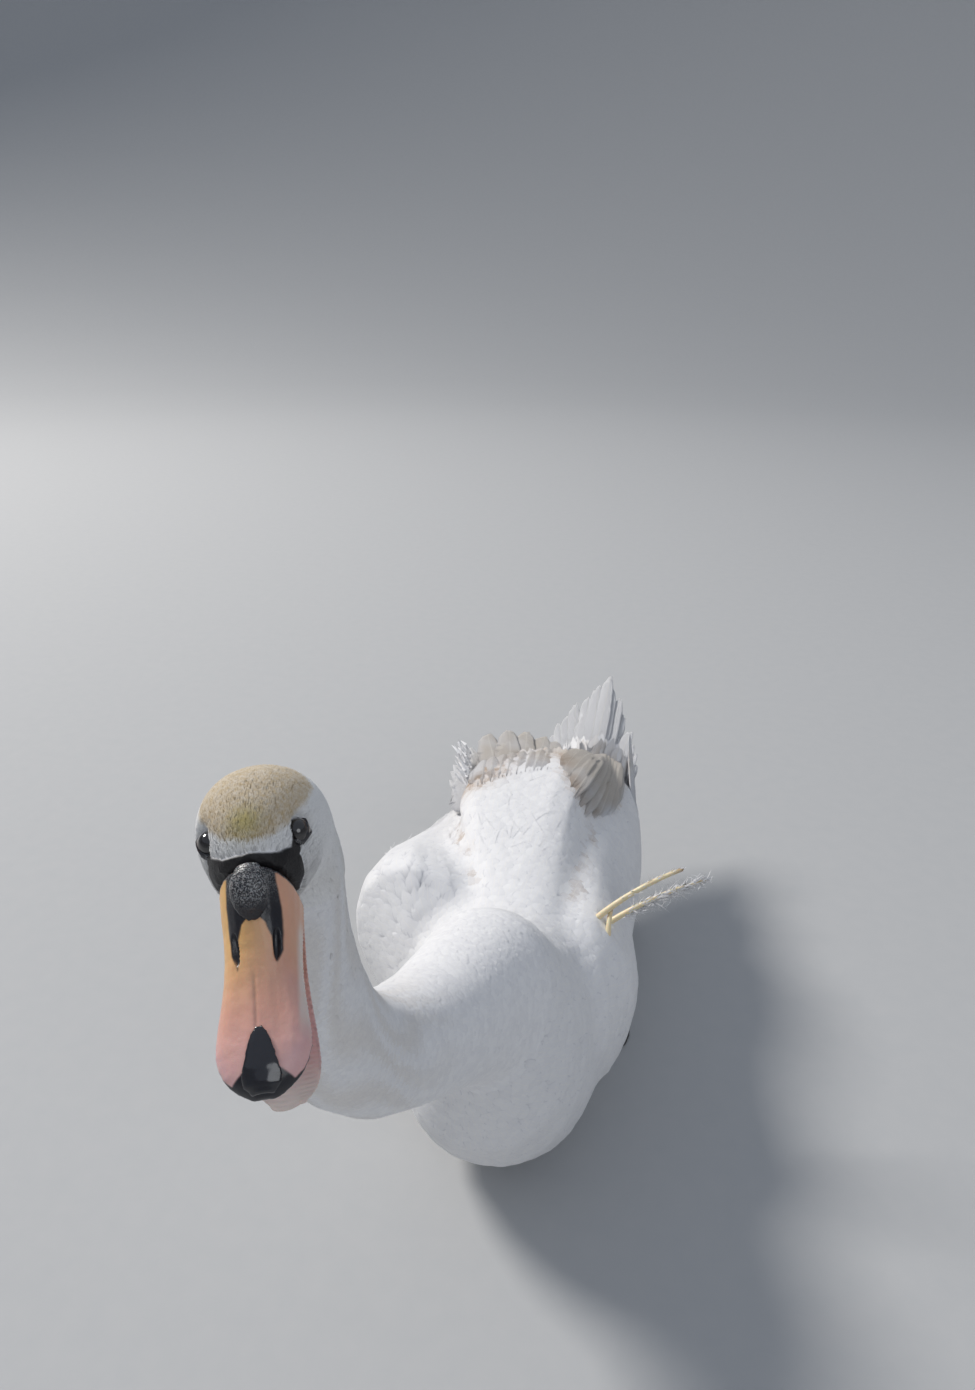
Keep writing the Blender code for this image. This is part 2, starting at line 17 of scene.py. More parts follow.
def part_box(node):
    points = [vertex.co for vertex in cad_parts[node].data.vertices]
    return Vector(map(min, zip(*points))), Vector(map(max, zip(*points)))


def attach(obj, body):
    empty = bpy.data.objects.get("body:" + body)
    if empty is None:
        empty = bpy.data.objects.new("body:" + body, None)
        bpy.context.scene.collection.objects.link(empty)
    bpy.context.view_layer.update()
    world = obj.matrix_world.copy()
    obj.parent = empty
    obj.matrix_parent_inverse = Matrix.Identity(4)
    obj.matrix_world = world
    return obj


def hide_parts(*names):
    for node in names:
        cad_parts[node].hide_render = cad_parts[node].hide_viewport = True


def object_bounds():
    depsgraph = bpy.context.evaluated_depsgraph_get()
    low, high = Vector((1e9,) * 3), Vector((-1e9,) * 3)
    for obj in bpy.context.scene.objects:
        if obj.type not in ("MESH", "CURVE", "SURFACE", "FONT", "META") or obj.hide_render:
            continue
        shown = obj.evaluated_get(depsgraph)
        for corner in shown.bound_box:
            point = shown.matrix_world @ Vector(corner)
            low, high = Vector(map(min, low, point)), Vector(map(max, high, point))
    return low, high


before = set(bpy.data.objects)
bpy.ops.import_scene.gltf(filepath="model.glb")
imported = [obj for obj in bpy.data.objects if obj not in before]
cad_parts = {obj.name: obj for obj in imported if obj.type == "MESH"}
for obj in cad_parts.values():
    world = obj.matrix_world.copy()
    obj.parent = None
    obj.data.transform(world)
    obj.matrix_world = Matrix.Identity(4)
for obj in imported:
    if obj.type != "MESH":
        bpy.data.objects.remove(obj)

MM = 0.001
CAD_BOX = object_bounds()
print("box of the solids, metres:", [round(b - a, 3) for a, b in zip(*CAD_BOX)])

# %% [markdown]
# ## Small tools
# A feather coat is hundreds of thousands of points, so points are kept in numpy arrays, one row each.
# The tools here turn arrays into objects and back, and ease a value in and out.
# %% Arrays, objects and easing
def unit(vectors):
    """The vectors with their lengths made one."""
    vectors = np.asarray(vectors, float)
    return vectors / np.maximum(np.linalg.norm(vectors, axis=-1, keepdims=True), 1e-12)


def eased(x, start=0.0, end=1.0):
    """0 at start and 1 at end, with a smooth rise between, also where end is below start."""
    x = np.clip((np.asarray(x, float) - start) / (end - start), 0, 1)
    return x * x * (3 - 2 * x)


def rows_of(items, key, width, kind=float):
    """One row of numbers for each vertex, edge, corner or face of a mesh."""
    values = np.empty(len(items) * width, kind)
    items.foreach_get(key, values)
    return values.reshape(-1, width)


def points_of(obj):
    return rows_of(obj.data.vertices, "co", 3)


def normals_of(obj):
    return rows_of(obj.data.vertices, "normal", 3)


def set_points(obj, points):
    obj.data.vertices.foreach_set("co", np.asarray(points, float).ravel())
    obj.data.update()


def marked(obj, **masks):
    """Stores each mask on the mesh, one value a point, for its materials to read."""
    for name, values in masks.items():
        layer = obj.data.attributes.get(name) or obj.data.attributes.new(name, "FLOAT", "POINT")
        layer.data.foreach_set("value", np.asarray(values, float).ravel())
    return obj


def linked(name, data):
    """An object that shows this data, in the scene."""
    obj = bpy.data.objects.new(name, data)
    bpy.context.scene.collection.objects.link(obj)
    return obj


def from_bmesh(name, bm):
    mesh = bpy.data.meshes.new(name)
    bm.to_mesh(mesh)
    bm.free()
    return linked(name, mesh)


def new_object(name, points, faces, finish=None):
    """An object from points and faces. The faces are one array, or a list of arrays by corner count."""
    faces = faces if isinstance(faces, list) else [faces]
    mesh = bpy.data.meshes.new(name)
    mesh.vertices.add(len(points))
    mesh.vertices.foreach_set("co", np.asarray(points, float).ravel())
    corners = np.concatenate([f.ravel() for f in faces])
    counts = np.concatenate([np.full(len(f), f.shape[1]) for f in faces])
    mesh.loops.add(len(corners))
    mesh.loops.foreach_set("vertex_index", corners.astype(np.int32))
    mesh.polygons.add(len(counts))
    mesh.polygons.foreach_set("loop_start", (np.cumsum(counts) - counts).astype(np.int32))
    mesh.polygons.foreach_set("use_smooth", np.ones(len(counts), bool))
    mesh.update(calc_edges=True)
    if finish:
        mesh.materials.append(finish)
    return linked(name, mesh)


def between_rings(count, around):
    """The faces between rings of points that follow one another, and the points' numbers by ring."""
    index = np.arange(count * around).reshape(count, around)
    beside = np.roll(index, -1, axis=1)
    walls = np.stack([index[:-1], index[1:], beside[1:], beside[:-1]], axis=-1).reshape(-1, 4)
    return walls, index


def applied(obj):
    """The object with its modifiers turned into mesh."""
    graph = bpy.context.evaluated_depsgraph_get()
    mesh = bpy.data.meshes.new_from_object(obj.evaluated_get(graph))
    obj.modifiers.clear()
    obj.data = mesh
    return obj


def lumps(points, size):
    """Soft random bumps from -1 to 1, about one size across. They are the same in every run."""
    return np.array([cloud.noise(p) for p in (np.asarray(points) / size).tolist()])


def finished(obj, material):
    obj.data.materials.clear()
    obj.data.materials.append(material)
    obj.data.polygons.foreach_set("use_smooth", np.ones(len(obj.data.polygons), bool))
    return obj


def placed(piece, slot, *nodes):
    """Every piece rides on the one body, and may stand for some solids. Its slot is not used."""
    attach(piece, "root")
    if nodes:
        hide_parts(*nodes)
    return piece


# %% [markdown]
# ## Where the head is
# The head is turned, dropped and rolled, so its features are easiest to place in its own axes: to
# the side, forward out of the bill, and up to the crown. The line between the eyes gives the first,
# and the tip of the bill, which lies a known angle below the second, gives the rest.
# %% The head's own axes
TIP_BELOW = math.radians(19.32)
EYES_AHEAD, EYES_ABOVE = 4.0, 8.0  # the eyes' middle from the head's own middle, in millimetres


def middle_of(node):
    low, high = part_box(node)
    return np.array((low + high) / 2)


EYES = {side: middle_of("eye_" + side) for side in ("left", "right")}
EYE_RADIUS = (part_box("eye_left")[1].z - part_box("eye_left")[0].z) / 2
BETWEEN_EYES = (EYES["left"] + EYES["right"]) / 2
SIDE = unit(EYES["left"] - EYES["right"])
bill_points = points_of(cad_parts["bill_upper"]) - BETWEEN_EYES
to_tip = bill_points[np.linalg.norm(bill_points, axis=1).argmax()]
to_tip = unit(to_tip - SIDE * (to_tip @ SIDE))
FORWARD = math.cos(TIP_BELOW) * to_tip + math.sin(TIP_BELOW) * np.cross(SIDE, -to_tip)
UP = np.cross(SIDE, -FORWARD)
HEAD_AXES = np.array([SIDE, FORWARD, UP])
HEAD_MIDDLE = BETWEEN_EYES - MM * (EYES_AHEAD * FORWARD + EYES_ABOVE * UP)


def in_head(side, forward, up):
    """A place given in millimetres in the head's axes, as a place in the frame."""
    return HEAD_MIDDLE + MM * (np.asarray([side, forward, up]).T @ HEAD_AXES)


def to_head(points):
    """Places in the frame, in millimetres in the head's axes: side, forward, up."""
    return ((np.asarray(points) - HEAD_MIDDLE) @ HEAD_AXES.T / MM).T


print("the bill points", np.round(FORWARD, 3), "and the eye's radius is", round(EYE_RADIUS / MM, 1), "mm")

# %% [markdown]
# ## The line that the plumage follows
# Feathers point away from the bill, along the neck and the back to the tail. A smooth curve through
# the middle of the body gives that direction everywhere, and how far along the bird a place is.
# %% A smooth curve from the bill to the tail
FLESH = ("trunk", "neck_lower", "neck_middle", "neck_upper", "head")
MEETING_GAP = 0.0015


def meeting(first, second):
    """The middle of the ring where two lengths of the body meet."""
    near, far = (points_of(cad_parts[n]) for n in (first, second))
    apart = np.linalg.norm(near[:, None] - far[None], axis=2).min(axis=1)
    return near[apart < MEETING_GAP].mean(axis=0)


def through(rows, samples):
    """A smooth run of rows through the given ones: Catmull-Rom."""
    rows = np.array(rows, float)
    ends = np.vstack([2 * rows[0] - rows[1], rows, 2 * rows[-1] - rows[-2]])
    found = []
    for k in range(len(rows) - 1):
        a, b, c, d = ends[k : k + 4]
        for u in np.arange(samples) / samples:
            found.append(0.5 * (2 * b + (c - a) * u + (2 * a - 5 * b + 4 * c - d) * u**2
                                + (3 * b - a - 3 * c + d) * u**3))
    return np.array([*found, rows[-1]])


trunk_points = points_of(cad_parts["trunk"])
rear_end = trunk_points[trunk_points[:, 1] > trunk_points[:, 1].max() - 0.003].mean(axis=0)
SPINE = through([
    in_head(0, 28, -9), in_head(0, -6, -12), meeting("head", "neck_upper"),
    meeting("neck_upper", "neck_middle"), meeting("neck_middle", "neck_lower"),
    meeting("neck_lower", "trunk"), middle_of("trunk"), rear_end,
], 24)
SPINE_LIE = unit(np.gradient(SPINE, axis=0))
SPINE_AT = np.concatenate([[0], np.cumsum(np.linalg.norm(np.diff(SPINE, axis=0), axis=1))])
LENGTH = SPINE_AT[-1]
print("from the bill to the root of the tail:", round(LENGTH, 3), "m")


def along_spine(points):
    """For each place, the nearest step of the curve."""
    found = []
    for part in np.array_split(points, max(1, len(points) // 20000)):
        found.append(((SPINE**2).sum(1) - 2 * part @ SPINE.T).argmin(axis=1))
    return np.concatenate(found)


def round_spine(points, steps):
    """The angle of each place round the curve, as a share of a whole turn, from under the body."""
    lie, out = SPINE_LIE[steps], points - SPINE[steps]
    left = unit(np.cross(lie, np.cross([1.0, 0, 0], lie)))
    over = np.cross(left, lie)
    return np.arctan2((out * left).sum(1), -(out * over).sum(1)) / (2 * math.pi) + 0.5


# %% [markdown]
# ## The form under the feathers
# The solids meet with thin gaps and flat facets. A voxel remesh melts them into one closed surface,
# and smoothing takes the facets out. Smoothing alone would shrink it, so each round of smoothing is
# followed by a slightly stronger one outwards. The clefts between wings and back are filled too: the
# surface is moved out, melted again and moved back, because down fills such clefts on the bird.
# %% Melt the solids into one surface
PRESS, RELEASE = 0.55, -0.57  # how far a round moves each point to its neighbours' middle, and back


def smoothed(obj, rounds, share=1.0):
    """Takes bumps out of a surface without shrinking it. Share says how strongly at each point."""
    points = points_of(obj)
    a, b = rows_of(obj.data.edges, "vertices", 2, np.int32).T
    count = np.maximum(np.bincount(a, minlength=len(points)) + np.bincount(b, minlength=len(points)), 1)
    for k in range(2 * rounds):
        total = np.empty_like(points)
        for axis in range(3):
            total[:, axis] = np.bincount(a, points[b, axis], len(points))
            total[:, axis] += np.bincount(b, points[a, axis], len(points))
        points += (PRESS if k % 2 == 0 else RELEASE) * share * (total / count[:, None] - points)
    set_points(obj, points)
    return obj


def joined(name, nodes, sunk=()):
    """The solids as one mesh. Those in sunk come twice, the second time a little nearer the middle."""
    bm = bmesh.new()
    for node in nodes:
        bm.from_mesh(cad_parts[node].data)
    for node, depth in sunk:
        start = len(bm.verts)
        bm.from_mesh(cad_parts[node].data)
        bm.verts.ensure_lookup_table()
        moved = np.array([v.co for v in bm.verts[start:]])
        inward = unit(SPINE[along_spine(moved)] - moved)
        for vertex, place in zip(bm.verts[start:], moved + inward * depth):
            vertex.co = place
    return from_bmesh(name, bm)


def melted(obj, voxel, rounds):
    """The object as one closed surface of small even faces."""
    remesh = obj.modifiers.new("melt", "REMESH")
    remesh.mode, remesh.voxel_size, remesh.use_smooth_shade = "VOXEL", voxel, True
    return smoothed(applied(obj), rounds)


CUSHIONS = ("wing_left", "wing_right", "mantle", "tertials")
FORM_VOXEL = 0.0036
solids = joined("form", (*FLESH, *CUSHIONS), [(n, 0.005) for n in CUSHIONS])
form = melted(solids, FORM_VOXEL, 6)


def on_body(points):
    """0 on the head and the upper neck, which keep their shape, and 1 on the body."""
    return eased(np.linalg.norm(points - BETWEEN_EYES, axis=1), 0.30, 0.45)[:, None]


for step in (0.012, -0.012):
    share = on_body(points_of(form)) * eased(points_of(form)[:, 1:2], 0.15, 0.11)
    set_points(form, points_of(form) + normals_of(form) * step * share)
    if step > 0:
        form = melted(form, FORM_VOXEL, 3)
smoothed(form, 80, share=on_body(points_of(form)))
print("the form has", len(form.data.polygons), "faces")


TRIES = 4  # places tried for each one kept


def search_tree(places):
    """Finds the nearest of these places to any other."""
    tree = kdtree.KDTree(len(places))
    for k, place in enumerate(places.tolist()):
        tree.insert(place, k)
    tree.balance()
    return tree


class Surface:
    """A surface to lay things on: the nearest place on it, its normal there, and places to root in."""

    def __init__(self, obj):
        self.points, self.normals = points_of(obj), normals_of(obj)
        obj.data.calc_loop_triangles()
        self.faces = rows_of(obj.data.loop_triangles, "vertices", 3, np.int32)
        self.tree = BVHTree.FromPolygons(self.points.tolist(), self.faces.tolist())
        a, b, c = (self.points[self.faces[:, k]] for k in range(3))
        self.areas = np.linalg.norm(np.cross(b - a, c - a), axis=1) / 2
        self.facing = unit(np.cross(b - a, c - a))
        self.middles = (a + b + c) / 3

    def nearest(self, points):
        """The nearest places, the smooth normals there, and which faces they are on."""
        points, find = np.atleast_2d(points), self.tree.find_nearest
        places, faces = np.empty((len(points), 3)), np.empty(len(points), int)
        for k, point in enumerate(points.tolist()):
            place, _, face, _ = find(point)
            places[k], faces[k] = place, face
        corners = self.faces[faces]
        weights = 1 / (np.linalg.norm(self.points[corners] - places[:, None], axis=2) + 1e-6)
        normals = unit((self.normals[corners] * weights[..., None]).sum(axis=1))
        return places, normals, faces

    def roots(self, spacing, wanted, rng, apart=0.75):
        """Places on the wanted faces, about one spacing apart: one spacing, or one for each face."""
        spacing = np.broadcast_to(spacing, self.areas.shape)
        share = np.where(wanted, self.areas / spacing**2, 0)
        count = int(share.sum() * (TRIES if apart else 1))
        faces = rng.choice(len(share), count, p=share / share.sum())
        u, v = rng.random((2, count))
        u, v = np.where(u + v > 1, 1 - u, u), np.where(u + v > 1, 1 - v, v)
        a, b, c = (self.points[self.faces[faces, k]] for k in range(3))
        places = a + (b - a) * u[:, None] + (c - a) * v[:, None]
        if apart:
            tree = search_tree(places)
            kept, alive = [], np.ones(count, bool)
            reach = (spacing[faces] * apart).tolist()
            for k, place in enumerate(places.tolist()):
                if alive[k]:
                    kept.append(k)
                    for _, near, _ in tree.find_range(place, reach[k]):
                        alive[near] = False
            places, faces = places[kept], faces[kept]
        corners = self.faces[faces]
        return places, unit(self.normals[corners].sum(axis=1)), faces


FORM = Surface(form)
form.hide_render = True

# %% [markdown]
# Which solid a place belongs to decides what kind of feather grows there, so each face of the form
# is given the name of the solid nearest to it.
# %% Name the regions of the form
def nearest_nodes(points, nodes):
    """For each place, the number of the nearest of these solids."""
    corners, faces, owner = [], [], []
    for number, node in enumerate(nodes):
        start = len(corners)
        corners += points_of(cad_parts[node]).tolist()
        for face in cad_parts[node].data.polygons:
            faces.append([start + k for k in face.vertices])
            owner.append(number)
    tree = BVHTree.FromPolygons(corners, faces)
    return np.array([owner[tree.find_nearest(p)[2]] for p in points.tolist()])


REGIONS = (*FLESH, *CUSHIONS)
face_region = nearest_nodes(FORM.middles, REGIONS)
print("faces by region:", {n: int((face_region == k).sum()) for k, n in enumerate(REGIONS)})


def on(*nodes):
    """The faces of the form that belong to these solids."""
    return np.isin(face_region, [REGIONS.index(n) for n in nodes])


on_wing = search_tree(FORM.middles[on("wing_left", "wing_right")])
on_mantle = FORM.middles[on("mantle")]
at_crease = search_tree(on_mantle[[on_wing.find(p)[2] < 0.005 for p in on_mantle.tolist()]])

# %% [markdown]
# ## Markings
# The same few masks colour the skin and every coat, so a gap between feathers never shows another
# colour. Each mask is a rule about where a place is: the crown is buff, its front is olive, the
# lores between eye and bill are bare black skin, and the back is stained where the wings meet.
# %% Masks for the markings
# Each stain is a place (side, rear and height in metres), a radius and a strength.
STAINS = (
    ((-0.112, 0.080, 0.285), 0.024, 1.6),
    ((-0.092, 0.096, 0.292), 0.020, 0.9),
    ((-0.012, 0.155, 0.298), 0.016, 0.85),
    ((0.005, 0.112, 0.295), 0.015, 1.0),
    ((0.024, 0.086, 0.280), 0.016, 0.80),
    ((-0.030, 0.172, 0.298), 0.024, 0.30),
    ((-0.080, 0.150, 0.298), 0.034, 0.50),
    ((-0.100, 0.020, 0.250), 0.020, 0.22),
)


# The near edge of the panel beside the arch: places to the side, and how far back it is there.
PANEL_EDGE = ((-0.018, 0.010, 0.031, 0.043, 0.056), (0.169, 0.099, 0.083, 0.110, 0.150))
# The rear edge of the lores in millimetres: heights, and how far forward it is there.
LORES_EDGE = ((-40, -33, -13, -6, 3.5, 11.5, 13, 16, 19.4, 23),
              (40, 23, 20.5, 18.5, 16.2, 15.6, 17, 21, 22.4, 23.5))
# The lower edge of the crown: places forward, and its height there.
CROWN_EDGE = ((-75, -55, -38, -23, -3, 9, 14, 20), (14, 8, 4, 5.5, 13.5, 17, 19, 22))
STRAP_FROM, STRAP_TO = np.array([24.0, 8.0, 10.5]), np.array([21.5, 18.0, 8.5])  # side, forward, up


def bare_lores(points):
    """1 on the bare black skin between the forehead and the bill, which narrows to a strap to each eye."""
    side, forward, up = to_head(points)
    uneven = 0.7 * lumps(points, 0.004)
    on_face = np.linalg.norm(points - HEAD_MIDDLE, axis=1) < 0.07
    run = STRAP_TO - STRAP_FROM
    place = np.stack([np.abs(side), forward, up], axis=1) - STRAP_FROM
    share = np.clip(place @ run / (run**2).sum(), 0, 1)
    strap = eased(np.linalg.norm(place - share[:, None] * run, axis=1) + uneven, 4.4, 3.2)
    return np.maximum(eased(forward - np.interp(up, *LORES_EDGE) + uneven, -0.8, 0.8), strap) * on_face


def crown_buff(points):
    """1 on the buff crown, which ends at a line from the eyes to the back of the head."""
    side, forward, up = to_head(points)
    front = 18.8 - 0.022 * (side - 2) ** 2 + 1.8 * lumps(points, 0.006)
    above = eased(up - np.interp(forward, *CROWN_EDGE) + 1.8 * lumps(points + 1.0, 0.007), -1.5, 3.5)
    return above * eased(forward - front, 2.0, -2.0) * eased(forward, -88, -50)


def forehead_olive(points):
    side, forward, up = to_head(points)
    return np.exp(-(((side + 1) / 8) ** 2) - ((forward - 9) / 8) ** 2) * eased(up, 8, 18)


def back_stain(points):
    """Where preening and moss have stained the back orange-brown."""
    total = np.zeros(len(points))
    for place, radius, strength in STAINS:
        total += strength * np.exp(-((np.linalg.norm(points - place, axis=1) / radius) ** 2))
    apart = np.array([at_crease.find(p)[2] for p in points.tolist()])
    crease = np.exp(-((apart / 0.008) ** 2)) * eased(lumps(points, 0.02), -0.4, 0.4)
    return np.clip(total + crease * eased(points[:, 1], -0.16, -0.06) * 0.65, 0, 1)


def grey_wash(points):
    """The grey-buff of worn feathers: streaks down the neck, and the rear of the back."""
    steps = along_spine(points)
    neck = eased(SPINE_AT[steps], 0.05, 0.12) * eased(SPINE_AT[steps], 0.42, 0.30)
    turn = round_spine(points, steps) * 2 * math.pi
    streaks = 0.5 + 0.5 * np.sin(turn * 9 + 2.2 * np.sin(SPINE_AT[steps] * 40 + turn * 3))
    mantle_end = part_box("mantle")[1].y
    x, y, z = points.T
    rear = eased(y, mantle_end - 0.065, mantle_end - 0.015) * eased(y, 0.30, 0.25) * eased(z, 0.22, 0.26)
    rear = rear * eased(x, -0.152, -0.120) * np.clip(0.75 + 0.45 * lumps(points, 0.016), 0, 1)
    panel = eased(y - np.interp(x, *PANEL_EDGE), -0.008, 0.012) * eased(y, 0.36, 0.31)
    panel = panel * eased(x, -0.024, -0.012) * eased(x, 0.068, 0.056) * eased(z, 0.205, 0.225)
    panel = panel * np.clip(0.8 + 0.4 * lumps(points, 0.012), 0, 1)
    return np.clip(neck * streaks * 0.4 + rear * 0.95 + panel * 0.95, 0, 1)


def markings(points):
    return {
        "buff": crown_buff(points), "olive": forehead_olive(points), "lores": bare_lores(points),
        "stain": back_stain(points), "wash": grey_wash(points),
    }


# %% [markdown]
# ## Finishes
# A material is a small tree of nodes. This helper adds one node, sets its inputs and joins it up, so
# that a tree reads from its first effect to the shader. Effects that several finishes share are node
# groups, with named inputs and outputs.
# %% Helpers for node trees
def feed(tree, socket, value):
    """Gives an input another node's output, a number, or a colour."""
    if isinstance(value, bpy.types.NodeSocket):
        tree.links.new(value, socket)
    elif isinstance(value, tuple):
        socket.default_value = (*value, 1)
    else:
        socket.default_value = value


def node(tree, kind, inputs=(), **settings):
    made = tree.nodes.new("ShaderNode" + kind)
    for name, value in settings.items():
        setattr(made, name, value)
    for name, value in dict(inputs).items():
        feed(tree, made.inputs[name], value)
    return made


def mask(tree, name):
    return node(tree, "Attribute", attribute_name=name).outputs["Fac"]


def mixed(tree, amount, first, second, blend="MIX"):
    """One colour laid over another by a share from 0 to 1."""
    made = node(tree, "Mix", data_type="RGBA", blend_type=blend)
    for socket, value in (("Factor", amount), (6, first), (7, second)):
        feed(tree, made.inputs[socket], value)
    return made.outputs[2]


def sums(tree, operation, *values):
    made = node(tree, "Math", operation=operation)
    for socket, value in zip(made.inputs, values):
        feed(tree, socket, value)
    return made.outputs[0]


def ramp(tree, value, start, end, low=0.0, high=1.0):
    made = node(tree, "MapRange", {"Value": value, "From Min": start, "From Max": end,
                                   "To Min": low, "To Max": high}, interpolation_type="SMOOTHSTEP")
    return made.outputs[0]


def effect(name, inputs, outputs):
    """An empty node group: its tree, what comes in, and what goes out."""
    tree = bpy.data.node_groups.new(name, "ShaderNodeTree")
    for label, kind, value in inputs:
        socket = tree.interface.new_socket(label, in_out="INPUT", socket_type="NodeSocket" + kind)
        socket.default_value = value
    for label, kind in outputs:
        tree.interface.new_socket(label, in_out="OUTPUT", socket_type="NodeSocket" + kind)
    return tree, tree.nodes.new("NodeGroupInput").outputs, tree.nodes.new("NodeGroupOutput").inputs


def finish(name, **settings):
    """A material with a Principled shader, whose plain values are set on the shader itself."""
    made = bpy.data.materials.new(name)
    made.use_nodes = True
    shader = made.node_tree.nodes["Principled BSDF"]
    for label, value in settings.items():
        shader.inputs[label.replace("_", " ")].default_value = value
    return made, made.node_tree, shader


def bumped(tree, shader, height, strength, distance):
    """Raises and lowers a surface in its shading by a height from 0 to 1."""
    made = node(tree, "Bump", {"Height": height, "Strength": strength, "Distance": distance})
    tree.links.new(made.outputs["Normal"], shader.inputs["Normal"])


def noise(tree, scale, detail=2.0, rough=0.5):
    where = node(tree, "TexCoord").outputs["Object"]
    made = node(tree, "TexNoise", {"Vector": where, "Scale": scale, "Detail": detail, "Roughness": rough})
    return made.outputs["Fac"]


# %% [markdown]
# A swan's white is never one white: each feather differs a little, and the crown and neck carry buff
# and grey. This group mixes those from the masks. The greyer covered base of each feather is painted
# shade, added in the feather finish below.
# %% The markings as a node group
WHITE, SHADE, BUFF = (0.86, 0.86, 0.87), (0.66, 0.66, 0.70), (0.50, 0.37, 0.20)
OLIVE, BLACK, RUST, WORN = (0.52, 0.44, 0.14), (0.012, 0.011, 0.012), (0.33, 0.19, 0.08), (0.62, 0.555, 0.475)

group, given, result = effect(
    "swan_markings",
    [("White", "Color", (*WHITE, 1)), ("Variation", "Float", 0.35)],
    [("Color", "Color"), ("Lores", "Float")],
)
mottle = noise(group, 420.0, 3.0, 0.6)
tone = sums(group, "MULTIPLY", mask(group, "tone"), given["Variation"])
colour = mixed(group, tone, given["White"], SHADE)
buff = sums(group, "MULTIPLY", mask(group, "buff"), ramp(group, mottle, 0.30, 0.72, 0.62, 1.0))
colour = mixed(group, buff, colour, mixed(group, mask(group, "tone"), BUFF, (0.66, 0.55, 0.38)))
colour = mixed(group, sums(group, "MULTIPLY", mask(group, "olive"), 0.75), colour, OLIVE)
colour = mixed(group, sums(group, "MULTIPLY", mask(group, "wash"), 0.85), colour, WORN)
stained = sums(group, "MULTIPLY", mask(group, "stain"), ramp(group, noise(group, 90.0), 0.3, 0.7, 0.4, 1.0))
colour = mixed(group, sums(group, "MULTIPLY", stained, 0.8), colour, RUST)
colour = mixed(group, mask(group, "lores"), colour, BLACK)
group.links.new(colour, result["Color"])
group.links.new(mask(group, "lores"), result["Lores"])
MARKINGS = group

# %% [markdown]
# A feather is a shaft with barbs that slant forward from it. The coats store how far along the
# feather a point is and how far across it, so the barbs are fine slanting lines in those two. The same
# two say where painted shade goes: on the covered base of each feather and on its side edges.
# %% The barbs as a node group
group, given, result = effect(
    "feather_barbs",
    [("Barbs", "Float", 60.0), ("Slant", "Float", 0.6)],
    [("Height", "Float"), ("Shaft", "Float"), ("PaintedShade", "Float")],
)
across = mask(group, "across")
aside = sums(group, "ABSOLUTE", across)
place = sums(group, "SUBTRACT", mask(group, "along"), sums(group, "MULTIPLY", aside, given["Slant"]))
waves = sums(group, "SINE", sums(group, "MULTIPLY", place, sums(group, "MULTIPLY", given["Barbs"], 6.283)))
shaft = ramp(group, aside, 0.09, 0.02)
uneven = noise(group, 260.0, 2.0)
group.links.new(sums(group, "MULTIPLY_ADD", waves, 0.35, uneven), result["Height"])
group.links.new(shaft, result["Shaft"])
# painted shade: the covered base of each feather, under the ones over it, and its side edges, where it meets
# its neighbours
painted_root_shade = ramp(group, mask(group, "along"), 0.62, 0.10, 0.0, 0.8)
group.links.new(sums(group, "MAXIMUM", painted_root_shade, ramp(group, aside, 0.72, 1.0)), result["PaintedShade"])
BARBS = group


def feather_finish(name, white, barbs, variation, bump, roughness=0.62, edge=0.0, relief=0.0006):
    """White feathers: matt, softly lit through, with fine barbs and the swan's markings. The edge argument
    sets how strong the painted shade is on each feather's covered base and side edges.
    """
    made, tree, shader = finish(name, Roughness=roughness, Sheen_Weight=0.25, Sheen_Roughness=0.4,
                                Specular_IOR_Level=0.25)
    marks = node(tree, "Group", node_tree=MARKINGS)
    marks.inputs["White"].default_value = (*white, 1)
    marks.inputs["Variation"].default_value = variation
    lines = node(tree, "Group", node_tree=BARBS)
    lines.inputs["Barbs"].default_value = barbs
    shaft = sums(tree, "MULTIPLY", lines.outputs["Shaft"], 0.25)
    tint = mixed(tree, shaft, marks.outputs["Color"], (0.93, 0.90, 0.82))
    # painted shade: the covered base and the side edges are multiplied towards blue-grey, as strongly as edge
    # says
    thin = sums(tree, "MULTIPLY", lines.outputs["PaintedShade"], edge)
    tree.links.new(mixed(tree, thin, tint, (0.62, 0.63, 0.68), "MULTIPLY"), shader.inputs["Base Color"])
    bumped(tree, shader, lines.outputs["Height"], bump, relief)
    return made


# The edge value of the body and flight feathers sets their painted shade; the head and neck have none.
HEAD_DOWN = feather_finish("head_velvet", (0.87, 0.87, 0.86), 8.0, 0.30, 0.25, 0.8)
NECK_DOWN = feather_finish("neck_plumage", (0.86, 0.86, 0.87), 10.0, 0.35, 0.3, 0.75)
BODY_FEATHER = feather_finish("body_plumage", (0.84, 0.84, 0.85), 26.0, 0.25, 0.35, 0.62, 0.42)
FLIGHT_FEATHER = feather_finish("flight_feathers", (0.84, 0.84, 0.85), 70.0, 0.25, 0.6, 0.5, 0.45, 0.0012)


def skin_finish():
    """White down next to the skin, and bare black skin at the lores, finely creased."""
    made, tree, shader = finish("skin", Roughness=0.7, Specular_IOR_Level=0.3)
    marks = node(tree, "Group", node_tree=MARKINGS)
    tree.links.new(marks.outputs["Color"], shader.inputs["Base Color"])
    tree.links.new(ramp(tree, marks.outputs["Lores"], 0.2, 0.9, 0.8, 0.42), shader.inputs["Roughness"])
    bumped(tree, shader, noise(tree, 900.0, 4.0, 0.65), 0.5, 0.0007)
    return made


SKIN = skin_finish()

# %% [markdown]
# ## The skin
# One skin stands for all the flesh, so no seam shows. It lies inside the form by the depth of the
# coat there: about a millimetre on the face, and twice that on the breast and back, where the
# feathers lie flat. On the bare lores it comes right out to the surface.
# %% The skin
COAT_AT = (0.0, 0.06, 0.12, 0.22, 0.36, 0.50, LENGTH)
COAT_DEPTH = (0.0010, 0.0012, 0.0015, 0.0018, 0.0020, 0.0022, 0.0022)


def coat_depth(points):
    return np.interp(SPINE_AT[along_spine(points)], COAT_AT, COAT_DEPTH)


